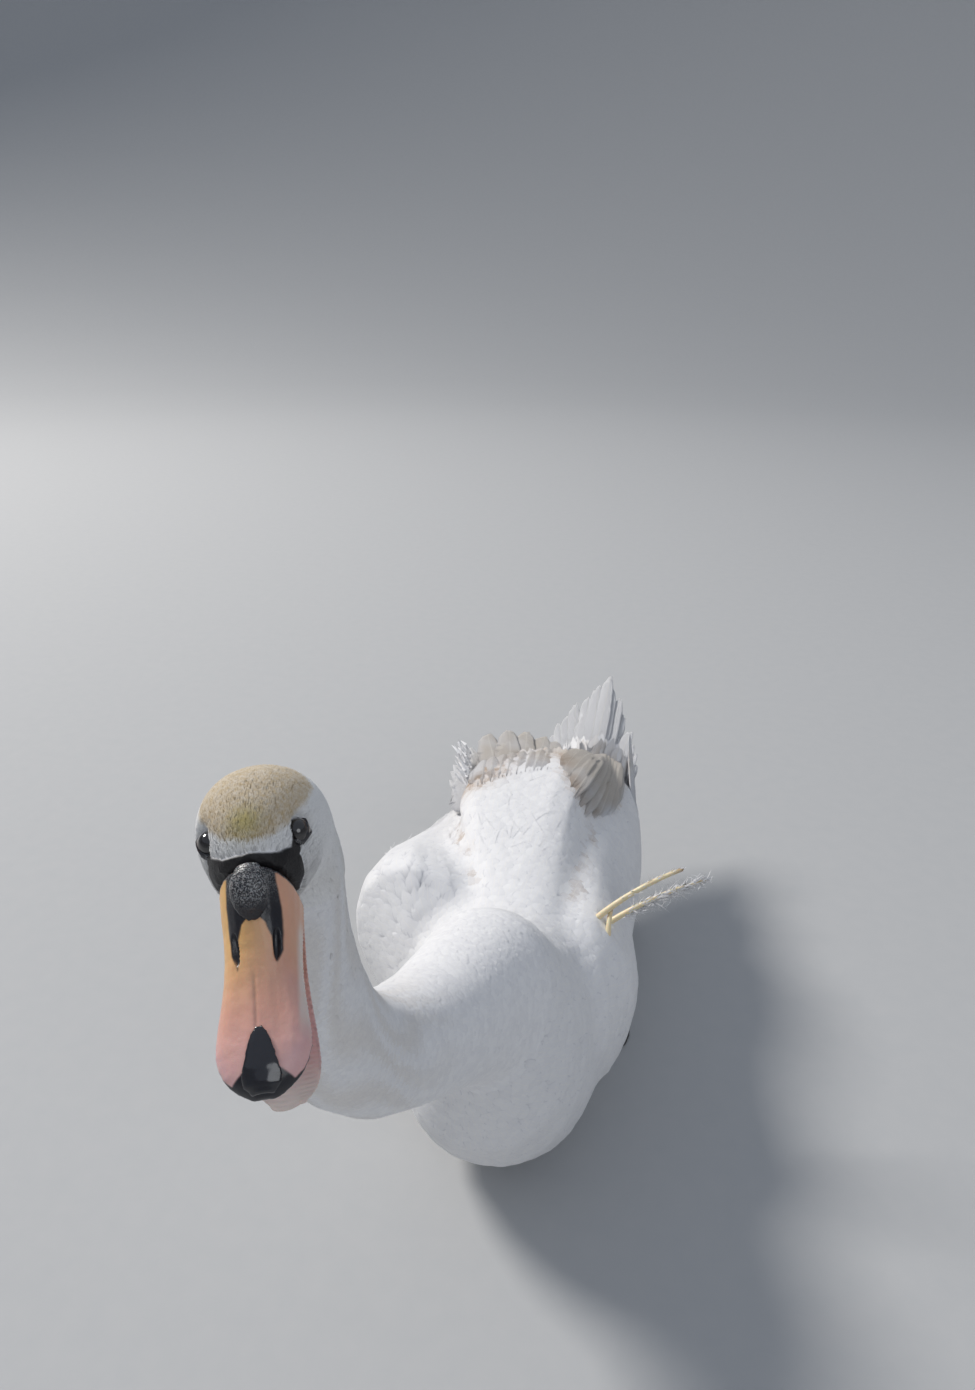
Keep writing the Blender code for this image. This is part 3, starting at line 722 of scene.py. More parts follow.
def make_skin():
    skin = linked("skin", form.data.copy())
    bm = bmesh.new()
    bm.from_mesh(skin.data)
    for _ in range(2):
        places = np.array([f.calc_center_median() for f in bm.faces])
        side, forward, up = to_head(places)
        face = (forward > -14) & (np.abs(side) < 45) & (np.abs(up) < 50)
        bm.faces.ensure_lookup_table()
        edges = {e for k in np.nonzero(face)[0] for e in bm.faces[k].edges}
        bmesh.ops.subdivide_edges(bm, edges=list(edges), cuts=1, use_grid_fill=True, smooth=0.0)
    bm.to_mesh(skin.data)
    bm.free()
    smoothed(skin, 2)
    points, normals = points_of(skin), normals_of(skin)
    depth = coat_depth(points) * (1 - bare_lores(points)) + 0.0002
    set_points(skin, points - normals * depth[:, None])
    return finished(skin, SKIN)


skin = make_skin()
marked(skin, **markings(points_of(skin)), tone=np.full(len(skin.data.vertices), 0.2))
placed(skin, "plumage", *FLESH, *CUSHIONS)
print("the skin has", len(skin.data.polygons), "faces")

# %% [markdown]
# ## Laying a coat
# A body feather is a thin curved vane, rooted in the skin and overlapping its neighbours like a roof
# tile: its root is deep and its tip comes out to the true surface. Every vane of a coat is worked
# out at once. The vanes start flat, then each point is dropped on the form and lifted to its height.
# %% The lie of the feathers
def lie_at(places, normals, rng, unruly):
    """Which way the feathers point: back along the body, kept in the surface, and not quite even."""
    lie = SPINE_LIE[along_spine(places)]
    lie = unit(lie - normals * (lie * normals).sum(axis=1, keepdims=True))
    side = np.cross(normals, lie)
    stray = rng.normal(0, unruly, len(places))[:, None]
    return unit(lie * np.cos(stray) + side * np.sin(stray))


def bake_map(obj, roots, spread, corner_of):
    """The map named OFBake: each tuft is a small patch where its root is on the unwrapped skin."""
    steps = along_spine(roots)
    place = np.stack([SPINE_AT[steps] / LENGTH, round_spine(roots, steps)], axis=1)
    place[:, 0] = (place[:, 0] - place[:, 0].min()) / max(np.ptp(place[:, 0]), 1e-9)
    place = 0.01 + 0.98 * place
    patch = place[corner_of] + 0.0015 * spread
    corners = rows_of(obj.data.loops, "vertex_index", 1, np.int32)[:, 0]
    layer = obj.data.uv_layers.new(name="OFBake")
    layer.data.foreach_set("uv", patch[corners].astype(np.float32).ravel())


def vane_outline(s):
    """Half the width of a body feather along it: narrow at the root, broad, then rounded off."""
    return (0.30 + 0.70 * eased(s, 0, 0.40)) * np.sqrt(1 - 0.88 * np.clip((s - 0.45) / 0.55, 0, 1) ** 2.4)


FLOOR_GAP = 0.0003  # nothing comes nearer to the floor than this


def lay_coat(name, roots, normals, lie, length, width, finish, rng, deep, out=-0.0003, rows=4, columns=4,
             cup=0.05, fray=0.05, outline=vane_outline, drape=True, slope=0.035, droop=0.0):
    """One joined mesh of feathers. Lengths, widths and depths are given for each feather."""
    count = len(roots)
    s, t = np.meshgrid(np.linspace(0, 1, rows + 1) ** 0.7, np.linspace(-1, 1, columns + 1), indexing="ij")
    s, t = s.ravel(), t.ravel()
    across = np.cross(normals, lie)
    rounded = s * (1 - 0.12 * t**2 * eased(s, 0.45, 1.0)) if columns > 1 else s
    ragged = np.clip(rng.normal(0, fray, (count, columns + 1)), -2 * fray, 1.5 * fray)
    reach = rounded[None] * (1 + np.tile(ragged, (1, rows + 1)) * eased(s, 0.3, 1.0)[None])
    half = outline(s)[None] * width[:, None] / 2
    points = roots[:, None] + lie[:, None] * (reach * length[:, None])[..., None]
    points += across[:, None] * (half * t[None])[..., None]
    height = -deep[:, None] * (1 - s[None]) ** 3 - slope * length[:, None] * (1 - s[None]) + out
    height += (cup * half * (1 - t**2)[None]) * np.sin(math.pi * np.clip(s, 0.1, 0.9))[None]
    height += (rng.normal(0, 0.003, count) * length)[:, None] - droop * eased(s, 0.7, 1.0)[None]
    if drape:
        places, outward, _ = FORM.nearest(points.reshape(-1, 3))
        straight = points.reshape(-1, 3)
        root_normal = np.repeat(normals, len(s), axis=0)
        follows = eased((outward * root_normal).sum(axis=1), 0.1, 0.6)[:, None]
        outward = unit(outward * follows + root_normal * (1 - follows))
        points = places * follows + straight * (1 - follows) + outward * height.reshape(-1, 1)
    else:
        points = (points + normals[:, None] * height[..., None]).reshape(-1, 3)
    points[:, 2] = np.maximum(points[:, 2], FLOOR_GAP)
    grid = (np.arange(rows)[:, None] * (columns + 1) + np.arange(columns)[None]).ravel()
    quads = np.stack([grid, grid + columns + 1, grid + columns + 2, grid + 1], axis=1)
    faces = (quads[None] + (np.arange(count) * len(s))[:, None, None]).reshape(-1, 4)
    a, b, c, d = (points[faces[:, k]] for k in range(4))
    upright = outward[faces[:, 0]] if drape else np.repeat(normals, len(quads), axis=0)
    faces = faces[(unit(np.cross(c - a, d - b)) * upright).sum(axis=1) > 0.3]
    return as_coat(name, points, faces, s, t, roots, finish, rng)


def as_coat(name, points, faces, s, t, roots, finish, rng):
    """The object of many small vanes, all alike: s is along each one and t across it."""
    count = len(roots)
    obj = new_object(name, points, faces, finish)
    feather = np.repeat(np.arange(count), len(s))
    marks = {k: v[feather] for k, v in markings(roots).items()}
    marked(obj, along=np.tile(s, count), across=np.tile(t, count), tone=rng.random(count)[feather], **marks)
    bake_map(obj, roots, np.tile(np.stack([t, 2 * s - 1], axis=1), (count, 1)), feather)
    print(name, "has", count, "feathers and", 2 * len(faces), "triangles")
    return placed(obj, "plumage")


# %% [markdown]
# ## The head's velvet
# The feathers of the head are the smallest, a few millimetres long and so fine that they read as
# velvet. They are thin blades, thickly sown, that lie back from the bill. None grow on the lores,
# and they stop short of the eyes.
# %% The coat of the head
def near_eye(points):
    """How far each place is from the middle of the nearer eye."""
    return np.minimum(*(np.linalg.norm(points - eye, axis=1) for eye in EYES.values()))


def velvet(name, wanted, spacing, seed):
    rng = np.random.default_rng(seed)
    roots, normals, _ = FORM.roots(spacing, wanted, rng, apart=0)
    keep = (bare_lores(roots) < 0.4) & (near_eye(roots) > EYE_RADIUS * 1.12)
    roots, normals = roots[keep], normals[keep]
    lie = lie_at(roots, normals, rng, 0.16)
    along = SPINE_AT[along_spine(roots)]
    length = np.interp(along, [0, 0.02, 0.06, 0.12], [0.0021, 0.0030, 0.0048, 0.0075])
    length *= rng.uniform(0.8, 1.2, len(roots))
    width = length * rng.uniform(0.20, 0.30, len(roots))
    deep = coat_depth(roots) * 1.1
    return lay_coat(name, roots, normals, lie, length, width, HEAD_DOWN, rng, deep, out=-0.0001, rows=2,
                    columns=1, cup=0, fray=0.0, drape=False, outline=lambda s: 1 - 0.8 * s**1.5)


head_at = SPINE_AT[along_spine(FORM.middles)]
velvet("coat_head_front", on("head") & (head_at < 0.036), 0.00062, 11)
velvet("coat_head_back", on("head") & (head_at >= 0.036), 0.00085, 12)

# %% [markdown]
# ## The neck
# Down the neck the feathers grow to a centimetre or so, still soft and narrow, with frayed ends.
# %% The coat of the neck
def soft_coat(name, wanted, spacing, stretch, slim, seed, rows=3, columns=2, unruly=0.14, finish=NECK_DOWN):
    """Soft feathers whose size grows with the distance from the bill."""
    rng = np.random.default_rng(seed)
    spacing = np.broadcast_to(spacing, FORM.areas.shape)
    roots, normals, faces = FORM.roots(spacing, wanted, rng)
    lie = lie_at(roots, normals, rng, unruly)
    length = spacing[faces] * stretch * rng.uniform(0.85, 1.2, len(roots))
    width = spacing[faces] * slim * rng.uniform(0.85, 1.2, len(roots))
    deep = 0.8 * coat_depth(roots)
    return lay_coat(name, roots, normals, lie, length, width, finish, rng, deep,
                    rows=rows, columns=columns, fray=0.04, slope=0.025, droop=0.0005)


neck_spacing = np.interp(head_at, [0.08, 0.20, 0.45], [0.0016, 0.0024, 0.0040])
soft_coat("coat_neck_upper", on("neck_upper"), neck_spacing, 4.2, 1.9, 21)
soft_coat("coat_neck_middle", on("neck_middle"), neck_spacing, 4.4, 2.1, 22)
soft_coat("coat_neck_lower", on("neck_lower"), neck_spacing, 4.4, 2.3, 23, 4, 3)

# %% [markdown]
# ## Breast, belly and flanks
# The contour feathers of the body are broad and closely laid, so the breast looks almost smooth and
# only their rounded ends break the surface.
# %% The coat of the trunk
trunk_spacing = np.interp(head_at, [0.40, 0.60, 0.95, LENGTH], [0.0046, 0.0062, 0.0066, 0.0075])
front = FORM.middles[:, 1] < 0.02
soft_coat("coat_breast", on("trunk") & front, trunk_spacing, 4.4, 2.7, 31, 5, 4, 0.10, BODY_FEATHER)
soft_coat("coat_rump", on("trunk") & ~front, trunk_spacing, 4.6, 2.7, 32, 5, 4, 0.10, BODY_FEATHER)

# %% [markdown]
# ## Wings and back
# The coverts of the left wing are short and scalloped, and those of the right wing, which is held
# out, are longer and narrower. The rear face of the mantle is left bare here, because longer
# feathers hang over it.
# %% The coats of the folded wings and of the back
rear_step = (FORM.facing[:, 1] > 0.60) & on("mantle", "tertials")
soft_coat("coat_wing_left", on("wing_left"), 0.0072, 4.0, 2.7, 41, 5, 4, 0.08, BODY_FEATHER)
soft_coat("coat_wing_right", on("wing_right"), 0.0072, 5.2, 2.3, 42, 5, 4, 0.07, BODY_FEATHER)
soft_coat("coat_mantle", on("mantle") & ~rear_step, 0.0068, 4.6, 2.7, 43, 5, 4, 0.10, BODY_FEATHER)
soft_coat("coat_tertials", on("tertials") & ~rear_step, 0.0075, 4.4, 2.6, 44, 5, 4, 0.09, BODY_FEATHER)

# %% [markdown]
# ## Flight feathers
# The feathers of the tail and the wing tips are stiff, long and few, so each one is modelled: a
# closed thin vane with a raised shaft, a narrow leading web, a broad trailing web, and splits where
# the barbs have parted. Their tips follow the solids, which reach out to them.
# %% One flight feather, and a set of them
def long_outline(s):
    return (0.16 + 0.84 * eased(s, 0.02, 0.30)) * (1 - 0.30 * eased(s, 0.6, 1.0))


LEADING_SHARE = 0.42  # how much of a feather's width lies before its shaft
VANE_THICK, SHAFT_THICK = 0.0010, 0.0011
VANE_GRID = {"rows": 22, "columns": 8}


def flight_feather(root, tip, over, width, rng, rows, columns, bow=0.0, splits=3, pointed=0.30, ragged=0.010):
    """The points of one feather, upper side then under side, with how far along and across they are."""
    s, t = np.meshgrid(np.linspace(0, 1, rows + 1) ** 0.85, np.linspace(-1, 1, columns + 1), indexing="ij")
    axis = tip - root
    length = np.linalg.norm(axis)
    over = unit(over - axis * (over @ axis) / length**2)
    across = np.cross(over, axis / length)
    half = long_outline(s) * width * np.where(t < 0, LEADING_SHARE, 1 - LEADING_SHARE)
    for _ in range(splits):
        place, side, depth = rng.uniform(0.45, 0.95), rng.choice([-1, 1]), rng.uniform(0.12, 0.45)
        notch = np.clip(1 - np.abs(s - place + 0.10 * np.abs(t)) / 0.035, 0, 1)
        half = half * (1 - depth * notch * (t * side > 0.2))
    reach = s * (1 - pointed * np.abs(t) ** 2.2 * width / length * 1.6 * eased(s, 0.5, 1.0))
    worn = rng.normal(0, ragged, columns + 1) * (np.abs(t[0]) > 0.1)
    reach = reach * (1 + worn[None] * eased(s, 0.5, 1.0))
    middle = root + axis * reach[..., None] + over * (bow * length * np.sin(math.pi * s))[..., None]
    points = middle + across * (half * t)[..., None] - over * (0.16 * half * t**2)[..., None]
    shaft = SHAFT_THICK * np.clip(1 - np.abs(t) / 0.22, 0, 1) * (1 - 0.8 * s)
    top = points + over * (shaft + VANE_THICK / 2)[..., None]
    under = points - over * (shaft * 0.6 + VANE_THICK / 2)[..., None]
    return top, under, s, t


def closed_vane(rows, columns):
    """The faces of one feather, so that its two sides and its edge make a closed solid."""
    grid = np.arange((rows + 1) * (columns + 1)).reshape(rows + 1, columns + 1)
    top = np.stack([grid[:-1, :-1], grid[1:, :-1], grid[1:, 1:], grid[:-1, 1:]], axis=-1).reshape(-1, 4)
    rim = np.concatenate([grid[0, :-1], grid[:-1, -1], grid[-1, :0:-1], grid[:0:-1, 0]])
    ahead = np.roll(rim, -1)
    edge = np.stack([rim, ahead, ahead + grid.size, rim + grid.size], axis=1)
    return np.concatenate([top, top[:, ::-1] + grid.size, edge])


def feather_set(name, feathers, seed, nodes=(), **shape):
    """Joins long feathers into one piece. Each is given as (root, tip, over, width, own settings)."""
    rng = np.random.default_rng(seed)
    shape = {**VANE_GRID, **shape}
    rows, columns = shape["rows"], shape["columns"]
    points, marks, faces, place = [], [], [], 0
    for root, tip, over, width, own in feathers:
        top, under, s, t = flight_feather(root, tip, over, width, rng, **{**shape, **own})
        points += [top.reshape(-1, 3), under.reshape(-1, 3)]
        tone = np.full(s.size, rng.random())
        marks += [np.stack([s.ravel(), t.ravel(), tone], axis=1)] * 2
        faces.append(closed_vane(rows, columns) + place)
        place += 2 * s.size
    points, marks = np.concatenate(points), np.concatenate(marks)
    obj = new_object(name, points, np.concatenate(faces), FLIGHT_FEATHER)
    marked(obj, along=marks[:, 0], across=marks[:, 1], tone=marks[:, 2], **markings(points))
    roots = np.array([f[0] for f in feathers])
    owner = np.repeat(np.arange(len(feathers)), 2 * (rows + 1) * (columns + 1))
    bake_map(obj, roots, np.stack([marks[:, 1], 2 * marks[:, 0] - 1], axis=1), owner)
    print(name, "has", len(feathers), "feathers and", 2 * len(obj.data.polygons), "triangles")
    return placed(obj, "plumage", *nodes)


FAN_SHARE, TIP_SHARE = 0.96, 0.990  # how nearly a fan fills its solid, from side to side and lengthwise


def fanned(node_name, pivot, heading, count, over, width, tuck, uneven):
    """Feathers that spread from a place behind the solid, each as long as the solid is there."""
    out, heading = points_of(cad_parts[node_name]) - pivot, unit(heading)
    across = unit(np.cross(over, heading))
    angle, reach = np.arctan2(out @ across, out @ heading), np.linalg.norm(out, axis=1)
    middle, half = (angle.max() + angle.min()) / 2, np.ptp(angle) / 2 * FAN_SHARE
    feathers = []
    for k, turn in enumerate(middle + np.linspace(-half, half, count)):
        mine = np.nonzero(np.abs(angle - turn) < 1.8 * half / count)[0]
        tip = out[mine[reach[mine].argmax()]]
        root = unit(tip) * (reach[mine].min() - tuck)
        tip = tip * (TIP_SHARE - uneven * (k % 2))
        rank = abs(k - (count - 1) / 2) / count
        feathers.append((pivot + root, pivot + tip, over, width, {"rank": rank}))
    return feathers


def rear_edge(region, at):
    """The rear end of a region's upper surface, this far to the side, and which way it faces there."""
    near = np.abs(FORM.middles[:, 0] - at) < 0.005
    mine = np.nonzero(on(region) & near & (FORM.facing[:, 2] > 0.35))[0]
    best = mine[FORM.middles[mine, 1].argmax()]
    return FORM.middles[best], FORM.facing[best]


# %% [markdown]
# ### The tail
# A swan's tail is a stiff pointed wedge of some twenty feathers. The middle pair lies on top and is
# the longest, and each pair below is shorter, so their tips make a serrated edge.
# %% The tail
def layered(feathers, step):
    """Sinks each feather by its rank, so that the middle ones lie on top."""
    made = []
    for root, tip, over, width, own in feathers:
        sink = -over * step * own["rank"] * len(feathers)
        made.append((root + sink, tip + sink, over, width, {}))
    return made


tail_heading, tail_over = unit([0, 0.85, 0.53]), unit([0, -0.53, 0.85])
tail_points = points_of(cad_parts["tail"])
tail_root = tail_points[tail_points[:, 1] < tail_points[:, 1].min() + 0.025].mean(axis=0)
tail_feathers = fanned("tail", tail_root - 0.13 * tail_heading, tail_heading, 19, tail_over, 0.030,
                       0.03, 0.016)
feather_set("tail_feathers", layered(tail_feathers, 0.0009), 61, ["tail"],
            bow=0.004, pointed=0.5, ragged=0.014, splits=4)

LOOSE_SPACING = 0.0085
rear = (FORM.middles[:, 1] > rear_end[1] - 0.055) & on("trunk")
rng = np.random.default_rng(65)
roots, normals, _ = FORM.roots(LOOSE_SPACING, rear, rng)
lie = unit(np.tile(tail_heading, (len(roots), 1)) + rng.normal(0, 0.06, (len(roots), 3)) + 0.12 * normals)
sizes = rng.uniform(0.034, 0.050, len(roots))
over = unit(normals - lie * (lie * normals).sum(axis=1, keepdims=True))
lay_coat("tail_coverts", roots, over, lie, sizes, sizes * 0.42, BODY_FEATHER, rng,
         np.full(len(roots), 0.002), rows=6, drape=False)

# %% [markdown]
# ### The wing tips
# Beside the root of the tail the tips of the folded flight feathers stand out, one above the other.
# %% The tips of the primaries
def wing_tip(node_name, side, count, seed):
    points = points_of(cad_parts[node_name])
    order = points[:, 1].argsort()
    root, tip = points[order[:8]].mean(axis=0), points[order[-8:]].mean(axis=0)
    down, over = np.array([side * 0.45, 0, -0.89]), np.array([side * 0.89, 0.15, 0.45])
    feathers = []
    for k in range(count):
        share = k / (count - 1) - 0.5
        start = root + down * 0.014 * share + over * 0.0012 * (count / 2 - k)
        end = tip + down * 0.012 * share - (tip - root) * (0.06 + 0.08 * k) + over * 0.0008 * (count / 2 - k)
        feathers.append((start - (tip - root) * 0.35, end, over, 0.019, {}))
    return feather_set(node_name + "_feathers", feathers, seed, [node_name],
                       pointed=0.9, splits=2, ragged=0.004)


wing_tip("primaries_left", 1, 6, 62)
wing_tip("primaries_right", -1, 6, 63)

# %% [markdown]
# ### The long feathers of the back
# Behind the arch of the mantle the long inner wing feathers cover the rump, worn to a grey-buff. The
# mantle's own last feathers hang over its edge, in two rows.
# %% The tertials and the scapulars
def backward_row(name, region, sides, start, overhang, drop, width, lift, seed, **shape):
    """A row of feathers side by side that end behind a region's rear edge."""
    feathers = []
    for at in sides:
        edge, facing = rear_edge(region, at)
        root, outward, _ = FORM.nearest(edge - np.array([0, start, -0.02]))
        over = unit(facing + outward[0] + np.array([0, 0, 0.8]))
        tip = edge + np.array([0.10 * at, overhang, -drop])
        feathers.append((root[0] - outward[0] * 0.001, tip + over * lift, over, width, {}))
    return feather_set(name, feathers, seed, **shape)


low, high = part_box("tertials")
sides = np.linspace(low.x + 0.012, high.x - 0.008, 11)
backward_row("tertial_feathers_long", "tertials", sides, 0.150, 0.010, 0.001, 0.040, 0.003, 71,
             bow=0.03, splits=2, pointed=0.25)
backward_row("tertial_feathers_short", "tertials", sides[:-1] + np.diff(sides) / 2, 0.130, -0.035, -0.003,
             0.036, 0.004, 72, bow=0.03, splits=2, pointed=0.25)
low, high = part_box("mantle")
sides = np.linspace(low.x + 0.016, high.x - 0.012, 15)
backward_row("scapulars_long", "mantle", sides, 0.060, 0.022, 0.010, 0.026, 0.001, 73,
             rows=14, columns=6, bow=0.03, splits=1)
backward_row("scapulars_short", "mantle", sides[:-1] + np.diff(sides) / 2, 0.060, 0.006, 0.001, 0.026, 0.0022,
             74, rows=14, columns=6, bow=0.02, splits=1)

# %% [markdown]
# Beside the arch a panel of broad grey-buff feathers runs back from its left flank to the tail, in two
# rows. Each one is bowed up just enough to clear the back below it.
# %% The panel beside the arch
def top_of_form(x, y):
    """The highest place of the form over a place on the floor, and which way it faces there."""
    found = FORM.tree.ray_cast(Vector((x, y, 1.0)), Vector((0, 0, -1)))
    if found[0] is None:
        found = FORM.tree.find_nearest(Vector((x, y, 0.21)))
    return np.array(found[0]), np.array(found[1])


def cleared(root, tip, over, width):
    """A feather bowed up just enough to clear the form below its middle."""
    middle = 0.45 * root + 0.55 * tip
    rise = top_of_form(middle[0], middle[1])[0][2] + 0.003 - middle[2]
    return root, tip, over, width, {"bow": float(np.clip(rise / np.linalg.norm(tip - root), 0.03, 0.16))}


panel = []
for x in np.linspace(0.016, 0.056, 6):
    root, facing = top_of_form(x, 0.145)
    tip = top_of_form(0.85 * x, 0.318)[0] + np.array([0, 0, 0.010])
    tip[1] = 0.318
    panel.append(cleared(root - facing * 0.004, tip, unit(facing + np.array([0.1, -0.2, 0.6])), 0.026))
for x in np.linspace(-0.016, 0.054, 10):
    root, facing = top_of_form(x, np.interp(x, *PANEL_EDGE) - 0.022)
    tip = np.array([0.018 + 0.62 * x, 0.262 - 0.25 * abs(x - 0.02), 0.261 - 0.18 * abs(x - 0.02)])
    panel.append(cleared(root - facing * 0.0045, tip, unit(facing + np.array([0.05, -0.3, 0.7])), 0.025))
feather_set("panel_feathers", panel, 75, splits=2, pointed=0.2, ragged=0.008)

# %% [markdown]
# ### The raised fan
# The feathers at the right end of the back stand up behind the arch like a hand of cards, broad
# and round-ended. The last few, at the outer end, are white and worn to ragged points.
# %% The raised fan
fan_low, fan_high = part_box("wing_fan_right")
fan_pivot = np.array([fan_high.x - 0.012, fan_low.y - 0.085, fan_low.z - 0.016])
fan_over = unit([0.12, -0.50, 0.86])
fan_feathers = []
spread = fanned("wing_fan_right", fan_pivot, (-0.5, 0.8, 0.3), 13, fan_over, 0.036, 0.03, 0.01)
for k, (root, tip, over, width, _) in enumerate(spread):
    outer = eased(tip[0], -0.125, -0.150)
    own = {"ragged": 0.012 + 0.045 * outer, "pointed": 0.18 + 0.15 * outer, "splits": 3 + int(5 * outer)}
    sink = over * (0.0010 * abs(k - 5) + 0.001)
    fan_feathers.append((root - sink, tip - sink, over, width * (1 + 0.10 * outer), own))
feather_set("fan_feathers", fan_feathers, 64, ["wing_fan_right"], bow=0.02)

# %% [markdown]
# ## Carving a finer copy
# Bill, knob and nail keep their solids' shapes, but need nostrils, creases and pits finer than the
# solids' facets. Each is melted into even faces of about half a millimetre, smoothed, and then
# pressed in or out point by point. A shrunk copy pushed into its neighbour buries the joint.
# %% Melt one solid into fine faces, and press it
def carved(name, nodes, voxel, rounds, push=(0, 0, 0), shrink=0.94):
    bm = bmesh.new()
    for node_name in nodes.split():
        solid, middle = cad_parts[node_name].data, middle_of(node_name)
        bm.from_mesh(solid)
        start = len(bm.verts)
        bm.from_mesh(solid)
        bm.verts.ensure_lookup_table()
        for vertex in bm.verts[start:]:
            vertex.co = Vector(middle + (np.array(vertex.co) - middle) * shrink + push)
    obj = melted(from_bmesh(name, bm), voxel, rounds)
    print(name, "has", len(obj.data.polygons), "faces")
    return obj


def pressed(obj, depth):
    """Moves each point inward by its own depth in millimetres."""
    set_points(obj, points_of(obj) - normals_of(obj) * (np.asarray(depth) * MM)[:, None])
    return obj


# %% [markdown]
# ## Bill, knob and nail
# The bill is bone under a thin waxy skin, yellow-orange by the knob and pink towards the nail. Black
# skin fills the space between knob and orange stripes and runs on into the nostrils. The knob is
# soft and finely pitted, and the nail is polished horn. The three share one shader: its colour comes
# from masks, and black, damp and pitted places differ in their roughness.
# %% The finish of the bill
def horn_finish(name, roughness, damp, pits, coat):
    """Waxy skin or horn. The masks yellow, lilac, pale and dark colour it, and paler grey flecks on the dark
    are painted highlights, standing for glints on pitted skin.
    """
    made, tree, shader = finish(name, Specular_IOR_Level=0.5, Coat_Roughness=0.12, Coat_Weight=coat,
                                Subsurface_Weight=0.12, Subsurface_Scale=0.002)
    fine, broad = noise(tree, 1400.0, 3.0, 0.6), noise(tree, 170.0, 3.0, 0.6)
    colour = mixed(tree, broad, (0.72, 0.39, 0.30), (0.62, 0.32, 0.26))
    yellow = mixed(tree, broad, (0.82, 0.50, 0.19), (0.72, 0.41, 0.15))
    lilac = mixed(tree, broad, (0.76, 0.47, 0.44), (0.63, 0.37, 0.38))
    for label, tint in (("yellow", yellow), ("lilac", lilac), ("pale", (0.74, 0.66, 0.60))):
        colour = mixed(tree, mask(tree, label), colour, tint)
    flecks = sums(tree, "MULTIPLY", ramp(tree, fine, 0.62, 0.78), 0.25)
    colour = mixed(tree, flecks, colour, (0.45, 0.20, 0.13))
    # painted highlights: paler grey flecks on the black, standing for glints on pitted skin
    painted_glints = sums(tree, "MULTIPLY", mask(tree, "speckle"), ramp(tree, fine, 0.46, 0.60))
    black = mixed(tree, painted_glints, (0.012, 0.012, 0.017), (0.30, 0.30, 0.30))
    colour = mixed(tree, mask(tree, "dark"), colour, black)
    tree.links.new(colour, shader.inputs["Base Color"])
    dry = sums(tree, "MULTIPLY_ADD", fine, 0.14, roughness)
    tree.links.new(mixed_value(tree, mask(tree, "dark"), dry, damp), shader.inputs["Roughness"])
    bumped(tree, shader, sums(tree, "MULTIPLY_ADD", fine, 0.5, broad), pits, 0.0006)
    return made


def mixed_value(tree, amount, first, second):
    """One number laid over another by a share from 0 to 1."""
    return node(tree, "Mix", {"Factor": amount, 2: first, 3: second}).outputs[0]


BILL_SKIN = horn_finish("bill_skin", 0.36, 0.30, 0.30, 0.10)
KNOB_SKIN = horn_finish("knob_skin", 0.40, 0.34, 0.55, 0.15)
NAIL_HORN = horn_finish("nail_horn", 0.20, 0.14, 0.05, 0.60)

# %% [markdown]
# The nostrils are slots either side of the ridge, in front of the knob. Behind them the black skin
# widens round the knob. A faint groove runs along the ridge to the nail, the cutting edge is finely
# ridged to sieve food, and the black of the nail spreads along that edge. Each of these is a rule
# about how far forward, aside and above that edge a point is, so the dents and the colours agree.
# %% The upper bill
def no_marks(count, **given):
    """All the masks that the bill's finish reads: those given, and the others at nought."""
    return {k: given.get(k, np.zeros(count)) for k in ("yellow", "lilac", "pale", "speckle", "dark")}


def edge_height(forward, up, lowest):
    """How far each place is above the lower edge, or below the upper one, at its distance forward."""
    bins = np.arange(forward.min(), forward.max() + 2, 2.0)
    which = np.digitize(forward, bins)
    pick = np.min if lowest else np.max
    found = [(bins[k - 1] + 1, pick(up[which == k])) for k in range(1, len(bins) + 1) if (which == k).any()]
    return up - np.interp(forward, *zip(*found))


def carved_in_head(*settings):
    """A carved piece, its points, and where they are in the head's axes, in millimetres."""
    obj = carved(*settings)
    places = points_of(obj)
    return obj, places, *to_head(places)


upper, places, side, forward, up = carved_in_head("upper_bill", "bill_upper", 0.0006, 90, -FORWARD * 0.004)
aside = np.abs(side)
tomium = edge_height(forward, up, True)
outer = np.interp(forward, [29, 40, 52, 60, 66], [11.6, 12.9, 13.0, 12.2, 9.6])
inner = np.interp(forward, [46, 50, 55, 61, 66], [0.0, 5.6, 7.6, 8.4, 9.2])
wander = 0.5 * lumps(places, 0.006)
slot = eased(aside - inner + wander, -0.5, 0.5) * eased(outer - aside + wander, -0.5, 0.5)
slot *= eased(forward, 68, 66) * (up > -16)
from_slot = aside - np.interp(forward, [52, 66], [10.2, 9.2])
nostril = np.clip(1 - ((forward - 58.5) / 7.0) ** 2 - (from_slot / 1.7) ** 2, 0, 1)
groove = np.exp(-(((side + 1.6) / 0.8) ** 2)) * eased(forward, 66, 76) * eased(forward, 95, 91)
hollow = np.exp(-(((aside - 9) / 4) ** 2)) * eased(forward, 64, 76) * eased(forward, 106, 92)
sieve = np.sin(forward * math.pi) * np.exp(-((tomium - 1.0) / 1.6) ** 2) * (forward < 100)
pressed(upper, 2.6 * np.sqrt(nostril) + 0.40 * groove + 0.55 * hollow + 0.14 * sieve
        + 0.16 * lumps(places, 0.006) + 0.06 * lumps(places, 0.0018))

